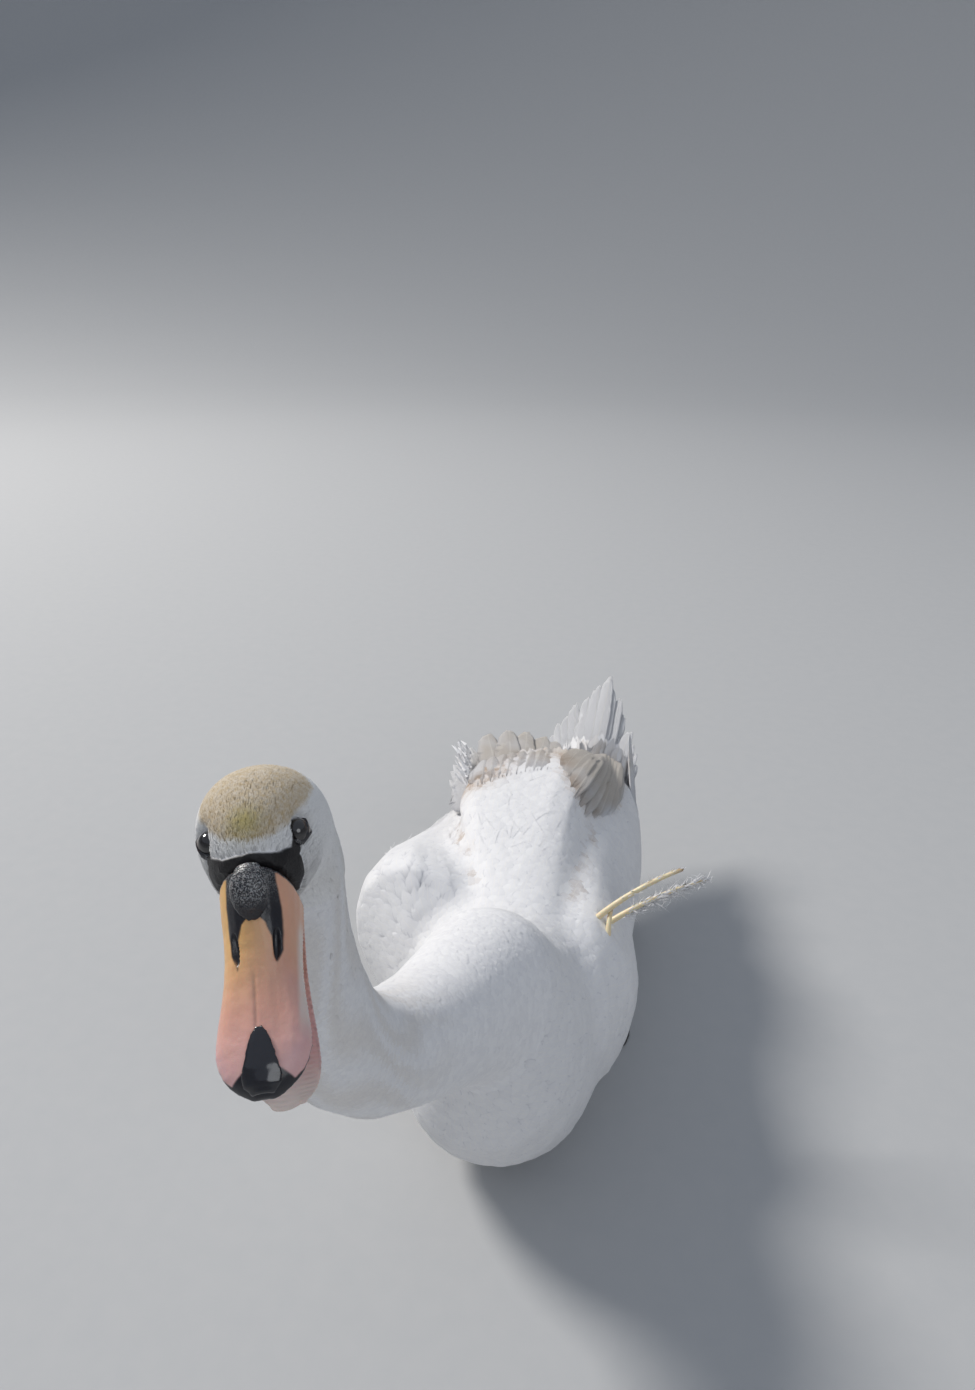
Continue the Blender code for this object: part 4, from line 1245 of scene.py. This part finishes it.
flare = eased(forward - np.interp(aside, [0, 9, 13, 16, 19], [108, 110, 112.5, 114.5, 118]), -0.6, 0.6)
rim = eased(tomium - np.interp(forward, [40, 96, 106, 115], [0.5, 0.8, 1.8, 3.6]) + wander, 0.4, -0.4)
base = eased(forward + 0.6 * wander, 30.6, 29.6)
marked(upper, **no_marks(
    len(places),
    # painted light: the yellow is strongest on the bill's right side and fades on its left, the lit side
    # warmer; its fade towards the nail is the bill's own colour
    yellow=eased(forward, 92, 48) * np.clip(0.70 - side / 26, 0.25, 1),
    lilac=np.clip(eased(forward, 84, 112) * 0.8 + eased(tomium, 9, 1) * eased(forward, 50, 80) * 0.6
                  + eased(side, 8, 18) * eased(forward, 60, 75) * 0.35, 0, 1),
    pale=0.8 * eased(side, 16.5, 18.5) * eased(tomium, 12, 6)
    * eased(forward, 38, 48) * eased(forward, 100, 84),
    dark=np.clip(slot + flare + rim + base + 0.28 * groove, 0, 1),
    # painted highlights: paler grey flecks on the black skin near the knob
    speckle=eased(forward, 44, 32) * 0.5,
))
placed(finished(upper, BILL_SKIN), "bill", "bill_upper")

# %% [markdown]
# The knob is black fleshy skin, softly shiny and finely wrinkled. Paler grey flecks on its top are
# painted highlights, glints on the pitted skin. It is pressed with three sizes of lumps: broad dents,
# wrinkles, and a fine grain.
# %% The knob
into_head = -FORWARD * 0.004 - UP * 0.001
knob, places, side, forward, up = carved_in_head("knob", "bill_knob", 0.0005, 120, into_head)
wrinkles = 0.30 * np.abs(lumps(places, 0.0016)) - 0.35 * lumps(places, 0.0045)
pressed(knob, wrinkles + 0.10 * lumps(places, 0.0009))
# painted highlights: paler grey flecks on the top of the knob
painted_glints = eased(up + lumps(places, 0.004), 10, 18)
marked(knob, **no_marks(len(places), dark=np.ones(len(places)), speckle=painted_glints))
placed(finished(knob, KNOB_SKIN), "horn", "bill_knob")

# %% [markdown]
# The nail is a plate of harder, shinier black horn at the tip of the upper bill, with a shallow dent
# along its middle that fades out towards its front.
# %% The nail
nail, places, side, forward, up = carved_in_head("nail", "bill_nail", 0.0005, 160, -UP * 0.002)
pressed(nail, 0.25 * np.exp(-((side / 1.2) ** 2)) * eased(forward, 108, 98) + 0.05 * lumps(places, 0.003))
marked(nail, **no_marks(len(places), dark=np.ones(len(places))))
placed(finished(nail, NAIL_HORN), "horn", "bill_nail")

# %% [markdown]
# ### The lower bill and the tongue
# The lower bill is a shallow scoop, dark below and pink along its edge, paling to the tip. The
# tongue that lies in it is fleshy, with a crease down the middle.
# %% The lower bill and the tongue
lower, places, side, forward, up = carved_in_head("lower_bill", "bill_lower", 0.0006, 30, -FORWARD * 0.003)
round_tip = 0.034 * np.minimum(np.abs(side), 8.0) ** 2 * eased(forward, 98, 108)
set_points(lower, places - FORWARD * (round_tip * MM)[:, None])
edge = edge_height(forward, up, False)
ridges = 0.12 * np.sin(forward * math.pi) * np.exp(-((edge + 1.5) / 1.5) ** 2)
pressed(lower, ridges + 0.12 * lumps(places, 0.005))
underside = eased(edge + 0.8 * lumps(places, 0.008), -4.4, -5.6) * eased(forward, 112, 98)
marked(lower, **no_marks(
    len(places),
    lilac=eased(forward, 40, 80),
    pale=eased(forward, 84, 106) * 0.85,
    dark=underside + eased(edge, -0.7, -0.2) * 0.5,
))
placed(finished(lower, BILL_SKIN), "bill", "bill_lower")

tongue, places, side, forward, up = carved_in_head("tongue_flesh", "tongue", 0.0007, 20)
pressed(tongue, 0.7 * np.exp(-(((side - 1.2) / 0.9) ** 2)) + 0.15 * lumps(places, 0.0016))
marked(tongue, **no_marks(len(places), lilac=np.ones(len(places)), pale=np.full(len(places), 0.25)))
placed(finished(tongue, BILL_SKIN), "mouth", "tongue")

# %% [markdown]
# ## Eyes and lids
# A swan's eye is dark brown with a black pupil under a clear bulging cornea. Each eyeball is made in
# rings round its line of sight, so the colours follow the rings. The lids are bare black skin: a
# ring from the opening on the ball out to the head, drawn forward to the corner by the lores.
# %% The eyes
EYE_RINGS, EYE_AROUND = 26, 40
LID_AROUND, LID_ROWS = 72, 10
OPENING = (4.8, 3.0)  # half the length and height of the opening, in millimetres
LID_REACH = (5.9, 3.9)  # the same for the outer edge of the lids


def eye_axes(which):
    """The middle of the eye, its line of sight, and forward and up across it."""
    sign = 1 if which == "left" else -1
    _, outward, _ = FORM.nearest(EYES[which] + 0.008 * unit(SIDE * sign * 0.8 + FORWARD * 0.35 + UP * 0.45))
    sight = outward[0]
    ahead = FORWARD * 0.97 + UP * 0.10
    ahead = unit(ahead - sight * (ahead @ sight))
    return EYES[which], sight, ahead, np.cross(sight, ahead) * sign


def eyeball(which):
    centre, sight, ahead, above = eye_axes(which)
    angle, turn = np.meshgrid(np.linspace(0.03, math.pi - 0.03, EYE_RINGS),
                              2 * math.pi * np.arange(EYE_AROUND) / EYE_AROUND, indexing="ij")
    radius = EYE_RADIUS * (0.955 + 0.045 * np.exp(-((angle / 0.62) ** 4)))
    round_it = ahead * np.cos(turn)[..., None] + above * np.sin(turn)[..., None]
    bearing = sight * np.cos(angle)[..., None] + round_it * np.sin(angle)[..., None]
    points = centre + radius[..., None] * bearing
    walls, index = between_rings(EYE_RINGS, EYE_AROUND)
    faces = [walls, index[:1], index[-1:, ::-1]]
    faces = faces if which == "left" else [face[:, ::-1] for face in faces]
    ball = new_object("eyeball_" + which, points.reshape(-1, 3), faces, EYE_FINISH)
    marked(ball, iris=eased(angle.ravel(), 0.27, 0.31), white=eased(angle.ravel(), 0.80, 0.90))
    return placed(ball, "eye", "eye_" + which)


def eye_finish():
    made, tree, shader = finish("eye", Roughness=0.12, Coat_Weight=1.0, Coat_Roughness=0.02)
    flecks = noise(tree, 1800.0, 3.0, 0.7)
    brown = mixed(tree, flecks, (0.030, 0.014, 0.008), (0.085, 0.040, 0.018))
    colour = mixed(tree, mask(tree, "iris"), (0.002, 0.002, 0.002), brown)
    colour = mixed(tree, mask(tree, "white"), colour, (0.012, 0.010, 0.010))
    tree.links.new(colour, shader.inputs["Base Color"])
    return made


def eyelids(which):
    centre, sight, ahead, above = eye_axes(which)
    turn = 2 * math.pi * np.arange(LID_AROUND) / LID_AROUND
    corner = 1 + 0.28 * eased(np.cos(turn), 0.55, 1.0)
    half_length = OPENING[0] * (1 + 0.10 * (corner - 1))
    inner = np.stack([np.cos(turn) * half_length, np.sin(turn) * OPENING[1]], axis=1) * MM
    aslant = np.sqrt(np.maximum(EYE_RADIUS**2 - (inner**2).sum(axis=1), 0))
    near = centre + sight * aslant[:, None] + ahead * inner[:, :1] + above * inner[:, 1:]
    near += unit(near - centre) * 0.00030
    reach = np.stack([np.cos(turn) * LID_REACH[0] * corner, np.sin(turn) * LID_REACH[1]], axis=1) * MM
    aimed = centre + sight * EYE_RADIUS * 0.6 + ahead * reach[:, :1] + above * reach[:, 1:]
    far, outward, _ = FORM.nearest(aimed)
    far += outward * 0.00025
    rows = []
    for w in np.linspace(0, 1, LID_ROWS):
        row = near * (1 - w) + far * w + sight * (0.00085 * math.sin(math.pi * w**0.6))
        row += outward * (0.00016 * math.sin(9 * w) * w)
        rows.append(row)
    rows = [centre + (near - centre) * 0.90, *rows, far - outward * 0.0012]
    walls, _ = between_rings(len(rows), LID_AROUND)
    faces = np.roll(walls, -1, axis=1) if which == "left" else np.roll(walls[:, ::-1], 1, axis=1)
    lids = new_object("eyelids_" + which, np.array(rows).reshape(-1, 3), faces, LID_SKIN)
    # painted highlights: paler grey flecks on the outer part of the lids
    painted_glints = np.repeat(eased(np.linspace(0, 1, len(rows)), 0.6, 1.0), LID_AROUND) * 0.6
    marked(lids, **no_marks(len(painted_glints), dark=np.ones(len(painted_glints)), speckle=painted_glints))
    return placed(lids, "plumage")


EYE_FINISH = eye_finish()
LID_SKIN = horn_finish("lid_skin", 0.45, 0.36, 0.5, 0.1)
for which in ("left", "right"):
    eyeball(which)
    eyelids(which)

# %% [markdown]
# ## Loose barbs
# Where a feather is worn or broken its barbs come apart and curl. Each one is a thin ribbon that
# starts along its own lie and bends evenly along its length.
# %% Curled ribbons
def ribbons(name, roots, lie, over, length, width, curl, finish, seed, rows=7):
    """One joined mesh of thin ribbons. Curl is each one's whole bend over itself, in radians."""
    s = np.linspace(0, 1, rows + 1)
    over = unit(over - lie * (over * lie).sum(axis=1, keepdims=True))
    bend = (np.abs(curl) + 0.01) * np.where(curl < 0, -1, 1)
    ahead, aside = (part[..., None] * length[:, None, None] for part in (
        np.sin(bend[:, None] * s) / bend[:, None], (1 - np.cos(bend[:, None] * s)) / bend[:, None]))
    middle = roots[:, None] + lie[:, None] * ahead + over[:, None] * aside
    across = np.cross(over, lie)[:, None] * (width[:, None] * (1 - 0.85 * s**1.4) / 2)[..., None]
    points = np.stack([middle - across, middle + across], axis=2).reshape(-1, 3)
    points = np.clip(points, np.array(CAD_BOX[0]) + 0.0002, np.array(CAD_BOX[1]) - 0.0002)
    step = 2 * np.arange(rows)
    quads = np.stack([step, step + 2, step + 3, step + 1], axis=1)
    faces = (quads[None] + (np.arange(len(roots)) * 2 * (rows + 1))[:, None, None]).reshape(-1, 4)
    return as_coat(name, points, faces, np.repeat(s, 2), np.tile([-1.0, 1.0], rows + 1), roots, finish,
                   np.random.default_rng(seed))


def strewn(rng, count, low, high):
    """Random places in a box."""
    return rng.uniform(low, high, (count, 3))


rng = np.random.default_rng(81)
roots = np.array([top_of_form(x, y)[0] for x, y, _ in strewn(rng, 26, (-0.09, -0.04, 0), (0.03, 0.10, 1))])
_, over, _ = FORM.nearest(roots)
lie = lie_at(roots, over, rng, 0.45)
ribbons("loose_strands", roots, lie, over, rng.uniform(0.018, 0.045, 26), rng.uniform(0.0006, 0.0012, 26),
        rng.uniform(0.1, 0.5, 26), NECK_DOWN, 82)

ENDS = 130  # worn barbs along the end of the fan
share = rng.random(ENDS)[:, None]
roots = np.array([[-0.128, 0.128, 0.262]]) * (1 - share) + np.array([[-0.145, 0.175, 0.288]]) * share
lie = unit(np.array([[-0.62, 0.60, 0.42]]) + rng.normal(0, 0.13, (ENDS, 3)))
roots = roots + rng.normal(0, 0.003, (ENDS, 3))
length, width = rng.uniform(0.010, 0.021, ENDS), rng.uniform(0.0020, 0.0042, ENDS)
curl = rng.normal(0, 0.3, ENDS)
ribbons("fan_ragged_end", roots, lie, np.tile(fan_over, (ENDS, 1)), length, width, curl, NECK_DOWN, 83)

facing_out = on("wing_right") & (FORM.facing[:, 0] < -0.55)
outer = facing_out & (FORM.middles[:, 2] > 0.14) & (FORM.middles[:, 1] > -0.02)
roots, over, _ = FORM.roots(LOOSE_SPACING, outer, rng)
count = len(roots)
lie = unit(lie_at(roots, over, rng, 0.25) + 0.12 * over)
length, width = rng.uniform(0.014, 0.026, count), rng.uniform(0.0012, 0.0026, count)
curl = rng.normal(-0.2, 0.3, count)
ribbons("right_wing_fray", roots, lie, over, length, width, curl, BODY_FEATHER, 84)

# %% [markdown]
# ## The broken quills
# Two flight feathers of the left wing have broken off to bare cream shafts, with a third stump beside
# them. A quill is a tube of horn, so its broken end is hollow and jagged. What is left of the vane
# hangs from it in white curls.
# %% Tubes, and the quills
def tube(path, radii, around=14, hollow=0.0):
    """A round rod through a path, closed at its ends. A hollow one has a hole in a jagged far end."""
    path, radii = np.asarray(path, float), np.asarray(radii, float)
    ahead = unit(np.gradient(path, axis=0))
    side = unit(np.cross(ahead, [0.2, 0.1, 1.0]))
    over = np.cross(side, ahead)
    turn = 2 * math.pi * np.arange(around) / around
    ring = side[:, None] * np.cos(turn)[:, None] + over[:, None] * np.sin(turn)[:, None]
    rings = list(path[:, None] + ring * radii[:, None, None])
    if hollow:
        jag = ahead[-1] * (radii[-1] * (1.1 * np.sin(3 * turn) + 0.8 * np.cos(turn)))[:, None]
        rings[-1] = rings[-1] + jag
        rings.append(path[-1] + ring[-1] * radii[-1] * 0.66 + jag)
        rings.append(path[-1] + ring[-1] * radii[-1] * 0.50 - ahead[-1] * hollow)
    walls, index = between_rings(len(rings), around)
    return np.array(rings).reshape(-1, 3), [walls, index[:1], index[-1:, ::-1]]


def shaft_of(name, samples=28):
    """A smooth line through a rod of a solid, from its root up to its tip."""
    points = points_of(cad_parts[name])
    middle = points.mean(axis=0)
    axis = np.linalg.svd(points - middle, full_matrices=False)[2][0]
    axis = axis * np.sign(axis[2])
    along = (points - middle) @ axis
    bow = np.polyfit(along, points - middle - np.outer(along, axis), 2)
    u = np.linspace(along.min(), along.max(), samples)
    return middle + np.outer(u, axis) + (u[:, None] ** [2, 1, 0]) @ bow


def quill_finish():
    """Cream horn, streaked along its length, browner at its broken ends."""
    made, tree, shader = finish("quill_horn", Roughness=0.38, Subsurface_Weight=0.15, Subsurface_Scale=0.002)
    streaks = noise(tree, 240.0, 4.0, 0.6)
    cream = mixed(tree, streaks, (0.84, 0.74, 0.50), (0.70, 0.58, 0.36))
    ends = ramp(tree, mask(tree, "along"), 0.90, 1.0)
    broken = sums(tree, "MULTIPLY", ends, 0.7)
    tree.links.new(mixed(tree, broken, cream, (0.36, 0.25, 0.14)), shader.inputs["Base Color"])
    tree.links.new(ramp(tree, streaks, 0.3, 0.7, 0.32, 0.5), shader.inputs["Roughness"])
    bumped(tree, shader, streaks, 0.3, 0.0004)
    return made


QUILL_HORN = quill_finish()
QUILLS = {"quill_upper": (0.0035, 0.0021), "quill_lower": (0.0034, 0.0015), "quill_stub": (0.0030, 0.0022)}
for name, (thick, thin) in QUILLS.items():
    path = shaft_of(name)[:-2]
    path = np.concatenate([path[:1] - unit(path[1] - path[0]) * 0.014, path])
    u = np.linspace(0, 1, len(path))
    points, faces = tube(path, thick + (thin - thick) * u, hollow=0.004)
    shaft = new_object(name + "_shaft", points, faces, QUILL_HORN)
    marked(shaft, along=np.repeat([*u, 1.0, 1.0], 14))
    placed(shaft, "quill", name)
    print(name, "is", round(float(np.linalg.norm(path[-1] - path[0])) / MM), "mm long")


def remains(name, count, start, end, longest, spread, curl, seed):
    """The barbs left along a shaft, mostly on its lower side, leaning towards its tip."""
    rng = np.random.default_rng(seed)
    path = shaft_of(name, 60)
    at = rng.uniform(start, end, count)
    roots = path[(at * 59).astype(int)]
    axis = unit(path[-1] - path[0])
    side = unit(np.cross(axis, [0, 0, 1.0]))
    below = np.cross(axis, side)
    turn = rng.normal(0.2, 0.9, count) + np.where(rng.random(count) < 0.25, math.pi, 0)
    out = below * np.cos(turn)[:, None] + side * np.sin(turn)[:, None]
    lean = rng.uniform(0.5, 1.3, count) * spread
    lie = unit(axis * np.cos(lean)[:, None] + out * np.sin(lean)[:, None])
    over = unit(np.cross(lie, np.cross(axis, out)) + rng.normal(0, 0.3, (count, 3)))
    length = longest * rng.uniform(0.35, 1.0, count) * (1 - 0.6 * at**3)
    ribbons(name + "_barbs", roots, lie, over, length, rng.uniform(0.0009, 0.0026, count),
            rng.normal(0, curl, count), NECK_DOWN, seed + 1, rows=9)


remains("quill_upper", 200, 0.20, 0.94, 0.016, 0.40, 0.7, 85)
remains("quill_lower", 420, 0.12, 0.97, 0.027, 0.60, 1.4, 87)

# %% [markdown]
# ## Legs and feet
# The shanks lie along the floor behind the feet, which are folded nearly shut under the belly: three
# toes side by side, with web between them and a blunt black claw on each. Broad scutes cross the
# toes, small scales cover the rest, and the thigh goes up into a ruff of flank feathers.
# %% The legs and the feet
def foot_finish():
    made, tree, shader = finish("foot_skin", Specular_IOR_Level=0.45)
    where = node(tree, "TexCoord").outputs["Object"]
    cells = node(tree, "TexVoronoi", {"Vector": where, "Scale": 620.0}, feature="DISTANCE_TO_EDGE")
    plates = ramp(tree, cells.outputs["Distance"], 0.02, 0.22)
    grey = mixed(tree, noise(tree, 120.0, 3.0, 0.6), (0.055, 0.055, 0.062), (0.125, 0.120, 0.120))
    tree.links.new(mixed(tree, plates, (0.030, 0.028, 0.030), grey), shader.inputs["Base Color"])
    tree.links.new(ramp(tree, plates, 0.0, 1.0, 0.65, 0.42), shader.inputs["Roughness"])
    bumped(tree, shader, plates, 0.5, 0.0005)
    return made


def claw_finish():
    made, tree, shader = finish("claw_horn", Roughness=0.3, Coat_Weight=0.2)
    worn = mixed(tree, noise(tree, 300.0, 3.0), (0.012, 0.011, 0.012), (0.06, 0.055, 0.05))
    tree.links.new(worn, shader.inputs["Base Color"])
    bumped(tree, shader, noise(tree, 900.0), 0.3, 0.0003)
    return made


FOOT_SKIN, CLAW_HORN = foot_finish(), claw_finish()
for which, sign in (("left", 1), ("right", -1)):
    foot = carved("webbed_foot_" + which, f"foot_{which} leg_{which}", 0.0010, 36, (0, -0.004, 0), 0.97)
    places = points_of(foot)
    x, y, z = (places / MM).T
    to_low, to_high = edge_height(y, x, True), -edge_height(y, x, False)
    across = (to_low - to_high) / np.maximum(to_low + to_high, 1)
    on_foot = eased(y, 166, 158)
    toe = eased(np.cos(3 * math.pi * across), 0.0, 0.8) * eased(z, 2.0, 3.5) * on_foot
    scutes = np.abs(np.sin(math.pi * (y + np.where(y > 165, z, 0)) / 3.6)) ** 0.5
    wrinkles = 0.22 * np.sin(x * 1.9 + 2.5 * lumps(places, 0.012))
    web = (1 - toe) * eased(z, 1.5, 3.0) * on_foot
    pressed(foot, np.maximum(toe, 1 - on_foot) * (0.40 - 0.40 * scutes) + web * (0.5 + wrinkles)
            + 0.12 * lumps(places, 0.002))
    places = points_of(foot)
    places[:, 2] = np.maximum(places[:, 2], FLOOR_GAP)
    set_points(foot, places)
    placed(finished(foot, FOOT_SKIN), "foot_skin", "foot_" + which, "leg_" + which)

    leg = points_of(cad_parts["leg_" + which])
    hip = leg[leg[:, 2] > leg[:, 2].max() - 0.014].mean(axis=0)
    rng = np.random.default_rng(90 + sign)
    roots, over, _ = FORM.nearest(hip + strewn(rng, 260, (-0.017, -0.022, -0.014), (0.017, 0.016, 0.016)))
    lie = unit(np.array([[0, 0.50, -0.80]]) + 0.35 * over + rng.normal(0, 0.12, (260, 3)))
    ribbons("thigh_feathers_" + which, roots - over * 0.001, lie, over, rng.uniform(0.016, 0.030, 260),
            rng.uniform(0.0025, 0.0045, 260), rng.normal(-0.4, 0.2, 260), BODY_FEATHER, 93 + sign)

    low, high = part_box("foot_" + which)
    toes_middle = points_of(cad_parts["foot_" + which])
    toes_middle = toes_middle[toes_middle[:, 1] < low.y + 0.004][:, 0].mean()
    points, faces, start = [], [[], [], []], 0
    for offset in (-0.0072, 0.0, 0.0072):
        u = np.linspace(0, 1, 12)[:, None]
        root = np.array([toes_middle + offset * 0.9, low.y + 0.010, 0.0048])
        path = root + np.array([offset * 0.25, -0.014, 0]) * u + np.array([0, 0, -0.0036]) * u**2.2
        more, parts = tube(path, 0.0021 * np.sqrt(1.02 - u[:, 0] ** 1.6) + 0.0002, 12)
        points.append(more)
        for kept, part in zip(faces, parts):
            kept.append(part + start)
        start += len(more)
    faces = [np.concatenate(part) for part in faces]
    placed(new_object("claws_" + which, np.concatenate(points), faces, CLAW_HORN), "horn")

# %% [markdown]
# ## Floor, light and camera
# The bird rests on one broad sheet of pale grey paper, flat under it and curved up all round far off,
# so that no edge or corner shows behind it. It is staged, so it isn't part of the bird.
# %% The floor
FLAT_TO, RISES_TO, AROUND_FLOOR = 6.0, 9.0, 96
bend = np.linspace(0, math.pi / 2, 17)
profile = [(2.0, 0.0), (FLAT_TO, 0.0)]
profile += [(FLAT_TO + RISES_TO * math.sin(a), RISES_TO * (1 - math.cos(a))) for a in bend[1:]]
turns = 2 * math.pi * np.arange(AROUND_FLOOR) / AROUND_FLOOR
rings = [[(r * math.cos(a), r * math.sin(a), z - 0.0004) for a in turns] for r, z in profile]
walls, index = between_rings(len(rings), AROUND_FLOOR)
floor = new_object("floor", np.array(rings).reshape(-1, 3), [index[:1], walls])
paper, tree, shader = finish("studio_floor", Roughness=0.9, Specular_IOR_Level=0.1)
grain = mixed(tree, noise(tree, 40.0, 3.0), (0.45, 0.46, 0.47), (0.48, 0.485, 0.49))
tree.links.new(grain, shader.inputs["Base Color"])
floor.data.materials.append(paper)

# %% [markdown]
# White plumage needs a soft light from one side, or its feathers vanish. The key light is high behind
# the bird's right shoulder and a little warm, the fill is weak and wide, in front on its left, and the
# sky adds a faint blue to the shadows.
# %% Soft light
def soft_light(name, place, target, size, power, colour):
    light = bpy.data.lights.new(name, "AREA")
    light.shape = "DISK"
    light.size, light.energy, light.color = size, power, colour
    obj = linked(name, light)
    obj.location = place
    obj.rotation_euler = (Vector(target) - Vector(place)).to_track_quat("-Z", "Y").to_euler()


soft_light("key", (-6.4, 1.6, 6.6), (0, -0.1, 0.3), 2.6, 780, (1.0, 0.96, 0.91))
soft_light("fill", (5.0, -6.0, 5.0), (0, -0.2, 0.3), 5.0, 120, (0.93, 0.96, 1.0))
world = bpy.data.worlds.new("studio")
world.use_nodes = True
world.node_tree.nodes["Background"].inputs["Color"].default_value = (0.78, 0.86, 1.0, 1)
world.node_tree.nodes["Background"].inputs["Strength"].default_value = 0.42
bpy.context.scene.world = world

# %% [markdown]
# The camera stands in front of the bird and above it, close to its head, with a wide lens, and looks
# down by about 22 degrees. A small shift of the lens keeps the head high in the picture.
# %% The camera
lens = bpy.data.cameras.new("camera")
lens.sensor_width, lens.lens, lens.shift_y = 36.0, 25.38, -0.0324
lens.clip_start = 0.02
camera = linked("camera", lens)
camera.location = (0.1836, -0.936, 0.8865)
camera.rotation_euler = (math.radians(68.5), 0, math.radians(15.0))
bpy.context.scene.camera = camera
bpy.context.scene.view_settings.view_transform = "Standard"

# %% [markdown]
# The melted form has done its work and isn't part of the bird. The box of the dressed bird has to lie
# inside the box of the solids.
# %% The end
bpy.data.objects.remove(form)
